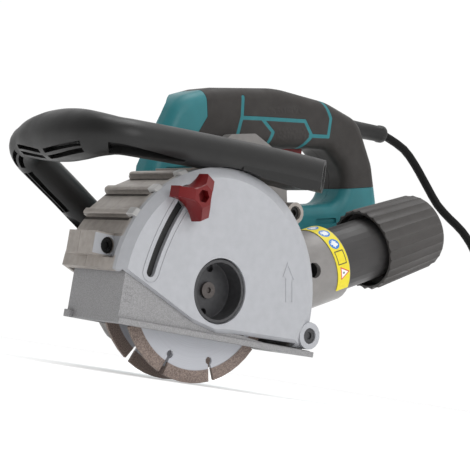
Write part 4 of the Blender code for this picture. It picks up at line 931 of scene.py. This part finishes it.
# ---- marks on the guard ----------------------------------------------------------------------------
def make_arrow(finish):
    """Outlined arrow, cast a little proud of the face, that shows which way the blades turn."""
    outer = [(58.4, 1.8), (64.8, 2.2), (61.8, 17.0), (63.7, 17.3), (54.7, 28.7), (52.3, 18.3),
             (55.0, 17.9)]
    inner = [(59.1, 2.5), (63.9, 2.8), (60.9, 17.6), (62.3, 17.9), (55.0, 27.0), (53.1, 18.7),
             (55.7, 18.4)]
    arrow = prism("arrow", outer, -0.3, 0.8)
    carve(arrow, "DIFFERENCE", prism("arrow_room", inner, -1, 1))
    fixed(arrow, "main_body", finish)


def fixed(piece, body, finish):
    paint(piece, finish)
    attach(piece, body)


def make_rib_lips(finish, highlight_tab_finish):
    """Beaded lower edge of each rib, with a tab that laps over the chamfer; the tab takes a lighter copy of
    the cast metal as painted highlight.
    """
    for number, angle in enumerate(RIB_ANGLES, 1):
        turn = math.radians(angle - 1.3)
        out = Vector((math.cos(turn), 0, math.sin(turn)))
        along = Vector((-out.z, 0, out.x))
        lip = ((80.5, -2.6), (86.0, -2.6), (86.9, -1.9), (87.1, 0.8), (86.2, 2.2), (80.5, 1.6))
        rings = [[GUARD_AT + out * r + along * shift + Vector((0, y, 0)) for r, shift in lip]
                 for y in (11.5, 66.0)]
        bead = loft(f"rib_bead_{number}", rings)
        soften(bead, 0.5, 2, 30)
        fixed(bead, "main_body", finish)
        section = ((15.5, 84.0), (15.5, 87.3), (8.4, 87.3), (2.4, 80.6), (2.2, 78.6), (6.0, 82.0))
        rings = [[GUARD_AT + out * r + along * shift + Vector((0, y, 0)) for y, r in section]
                 for shift in (-2.8, 2.9)]
        # the tab is lighter than the cast cover around it: painted highlight
        tab = loft(f"rib_tab_{number}", rings)
        soften(tab, 0.4, 2, 30)
        fixed(tab, "main_body", highlight_tab_finish)


def make_plate_edge(finish):
    """Ledge along the near edge of the base plate, a toe at its far front corner and depth marks."""
    ledge = prism("plate_ledge", [(-75.4, -32.1), (92.6, -32.1), (92.6, -28.3), (-75.4, -28.3)], 1.0, 3.6)
    soften(ledge, 0.4, 2, 40)
    fixed(ledge, "shroud", finish)
    corner = [(-77.4, -32.1), (-74.2, -32.1), (-74.2, -27.2), (-77.4, -27.2)]
    toe = prism("plate_toe", corner, 54.0, 61.0)
    soften(toe, 0.4, 2, 40)
    fixed(toe, "shroud", finish)
    for number, height in enumerate((-8.5, -12.5, -16.5)):
        bar = [(-72.0, height), (-66.5, height - 0.5), (-66.5, height - 1.3), (-72.0, height - 0.8)]
        mark = prism(f"depth_mark_{number}", bar, 3.0, 3.6)
        fixed(mark, "shroud", finish)


# ---- stage and light -------------------------------------------------------------------------------
def make_stage():
    floor_data = bmesh.new()
    bmesh.ops.create_grid(floor_data, x_segments=1, y_segments=1, size=6.0)
    floor = bpy.data.meshes.new("floor")
    floor_data.to_mesh(floor)
    floor_data.free()
    made = bpy.data.objects.new("floor", floor)
    made.location = (0, 0, -0.0005)
    bpy.context.scene.collection.objects.link(made)
    paper = plain("floor_paper", (0.92, 0.92, 0.92), 0.9, 0.0, 0.004, 3.0)
    shader = paper.node_tree.nodes["Principled BSDF"]
    shader.inputs["Emission Color"].default_value = (1.0, 1.0, 1.0, 1.0)
    shader.inputs["Emission Strength"].default_value = 0.30
    paint(made, paper)
    world = bpy.data.worlds.new("world")
    world.use_nodes = True
    tree = world.node_tree
    around = tree.nodes.new("ShaderNodeTexCoord").outputs["Generated"]
    toward = tree.nodes.new("ShaderNodeVectorMath")
    toward.operation = "DOT_PRODUCT"
    toward.inputs[1].default_value = (-0.94, -0.26, 0.2)
    tree.links.new(around, toward.inputs[0])
    fade = tree.nodes.new("ShaderNodeMapRange")
    for socket, value in zip(fade.inputs[1:], (-0.3, 0.7, 1.02, 0.38)):
        socket.default_value = value
    tree.links.new(toward.outputs["Value"], fade.inputs["Value"])
    tree.links.new(fade.outputs[0], tree.nodes["Background"].inputs["Strength"])
    tree.nodes["Background"].inputs["Color"].default_value = (1.0, 1.0, 1.0, 1.0)
    bpy.context.scene.world = world


def area_light(name, at, target, size, power):
    data = bpy.data.lights.new(name, "AREA")
    data.size = size
    data.energy = power
    light = bpy.data.objects.new(name, data)
    light.location = at
    light.rotation_mode = "QUATERNION"
    light.rotation_quaternion = (Vector(target) - Vector(at)).to_track_quat("-Z", "Y")
    bpy.context.scene.collection.objects.link(light)


def make_lights():
    area_light("key", (-0.1, -1.4, 0.8), (0, 0, 0.1), 0.8, 8.0)
    area_light("top", (0.1, 0.0, 1.6), (0, 0, 0.1), 0.9, 9.0)


# ---- the whole scene -------------------------------------------------------------------------------
def make_all():
    make_camera()
    finishes = make_materials()
    make_cord(finishes["cord_rubber"])
    make_boot(finishes["bail_plastic"])
    for entry in frame["record"]["subparts"]:
        paint(NODES[entry["node"]], finishes[entry["material_slot"]])
    make_bail(finishes["bail_plastic"])
    teal, grip = finishes["teal_plastic"], finishes["grip"]
    make_handle_half("near", HANDLE_NEAR, HANDLE_Y - SEAM, HANDLE_EDGE, 0, teal, grip)
    make_handle_half("far", HANDLE_Y + SEAM, HANDLE_FAR, 0, HANDLE_EDGE, teal, grip)
    make_knob(finishes["red_plastic"])
    make_adapter(finishes["black_rubber"])
    make_arrow(finishes["cover"])
    make_rib_lips(finishes["cover"], finishes["painted_highlight_tab"])
    make_plate_edge(finishes["raw_casting"])
    paint(NODES["spindle_screw"], finishes["dark_screw"])
    paint(NODES["spindle"], finishes["dark_screw"])
    paint(NODES["guard_screw_front"], finishes["bail_plastic"])
    paint(NODES["guard_screw_rear"], finishes["bail_plastic"])
    cast, raw = finishes["cast_aluminium"], finishes["raw_casting"]
    refine("guard_cover", "main_body", finishes["cover"], 0.5)
    refine("guard_back", "main_body", finishes["cover"], 0.5)
    refine("depth_shroud", "shroud", raw, 0.4)
    refine("gear_housing", "main_body", cast, 0.5)
    refine("motor_bracket", "main_body", cast, 0.5)
    refine("motor_housing", "main_body", teal, 0.5)
    refine("motor_end_cap", "main_body", finishes["black_plastic"], 0.5)
    refine("dust_collar", "main_body", cast, 0.6)
    refine("outer_flange", "blade_assembly", finishes["black_steel"], 0.4)
    refine("front_blade", "blade_assembly", finishes["blade_steel"], 0.15, 1)
    refine("rear_blade", "blade_assembly", finishes["blade_steel"], 0.15, 1)
    make_stage()
    make_lights()
    bpy.context.scene.view_settings.view_transform = "Standard"


make_all()
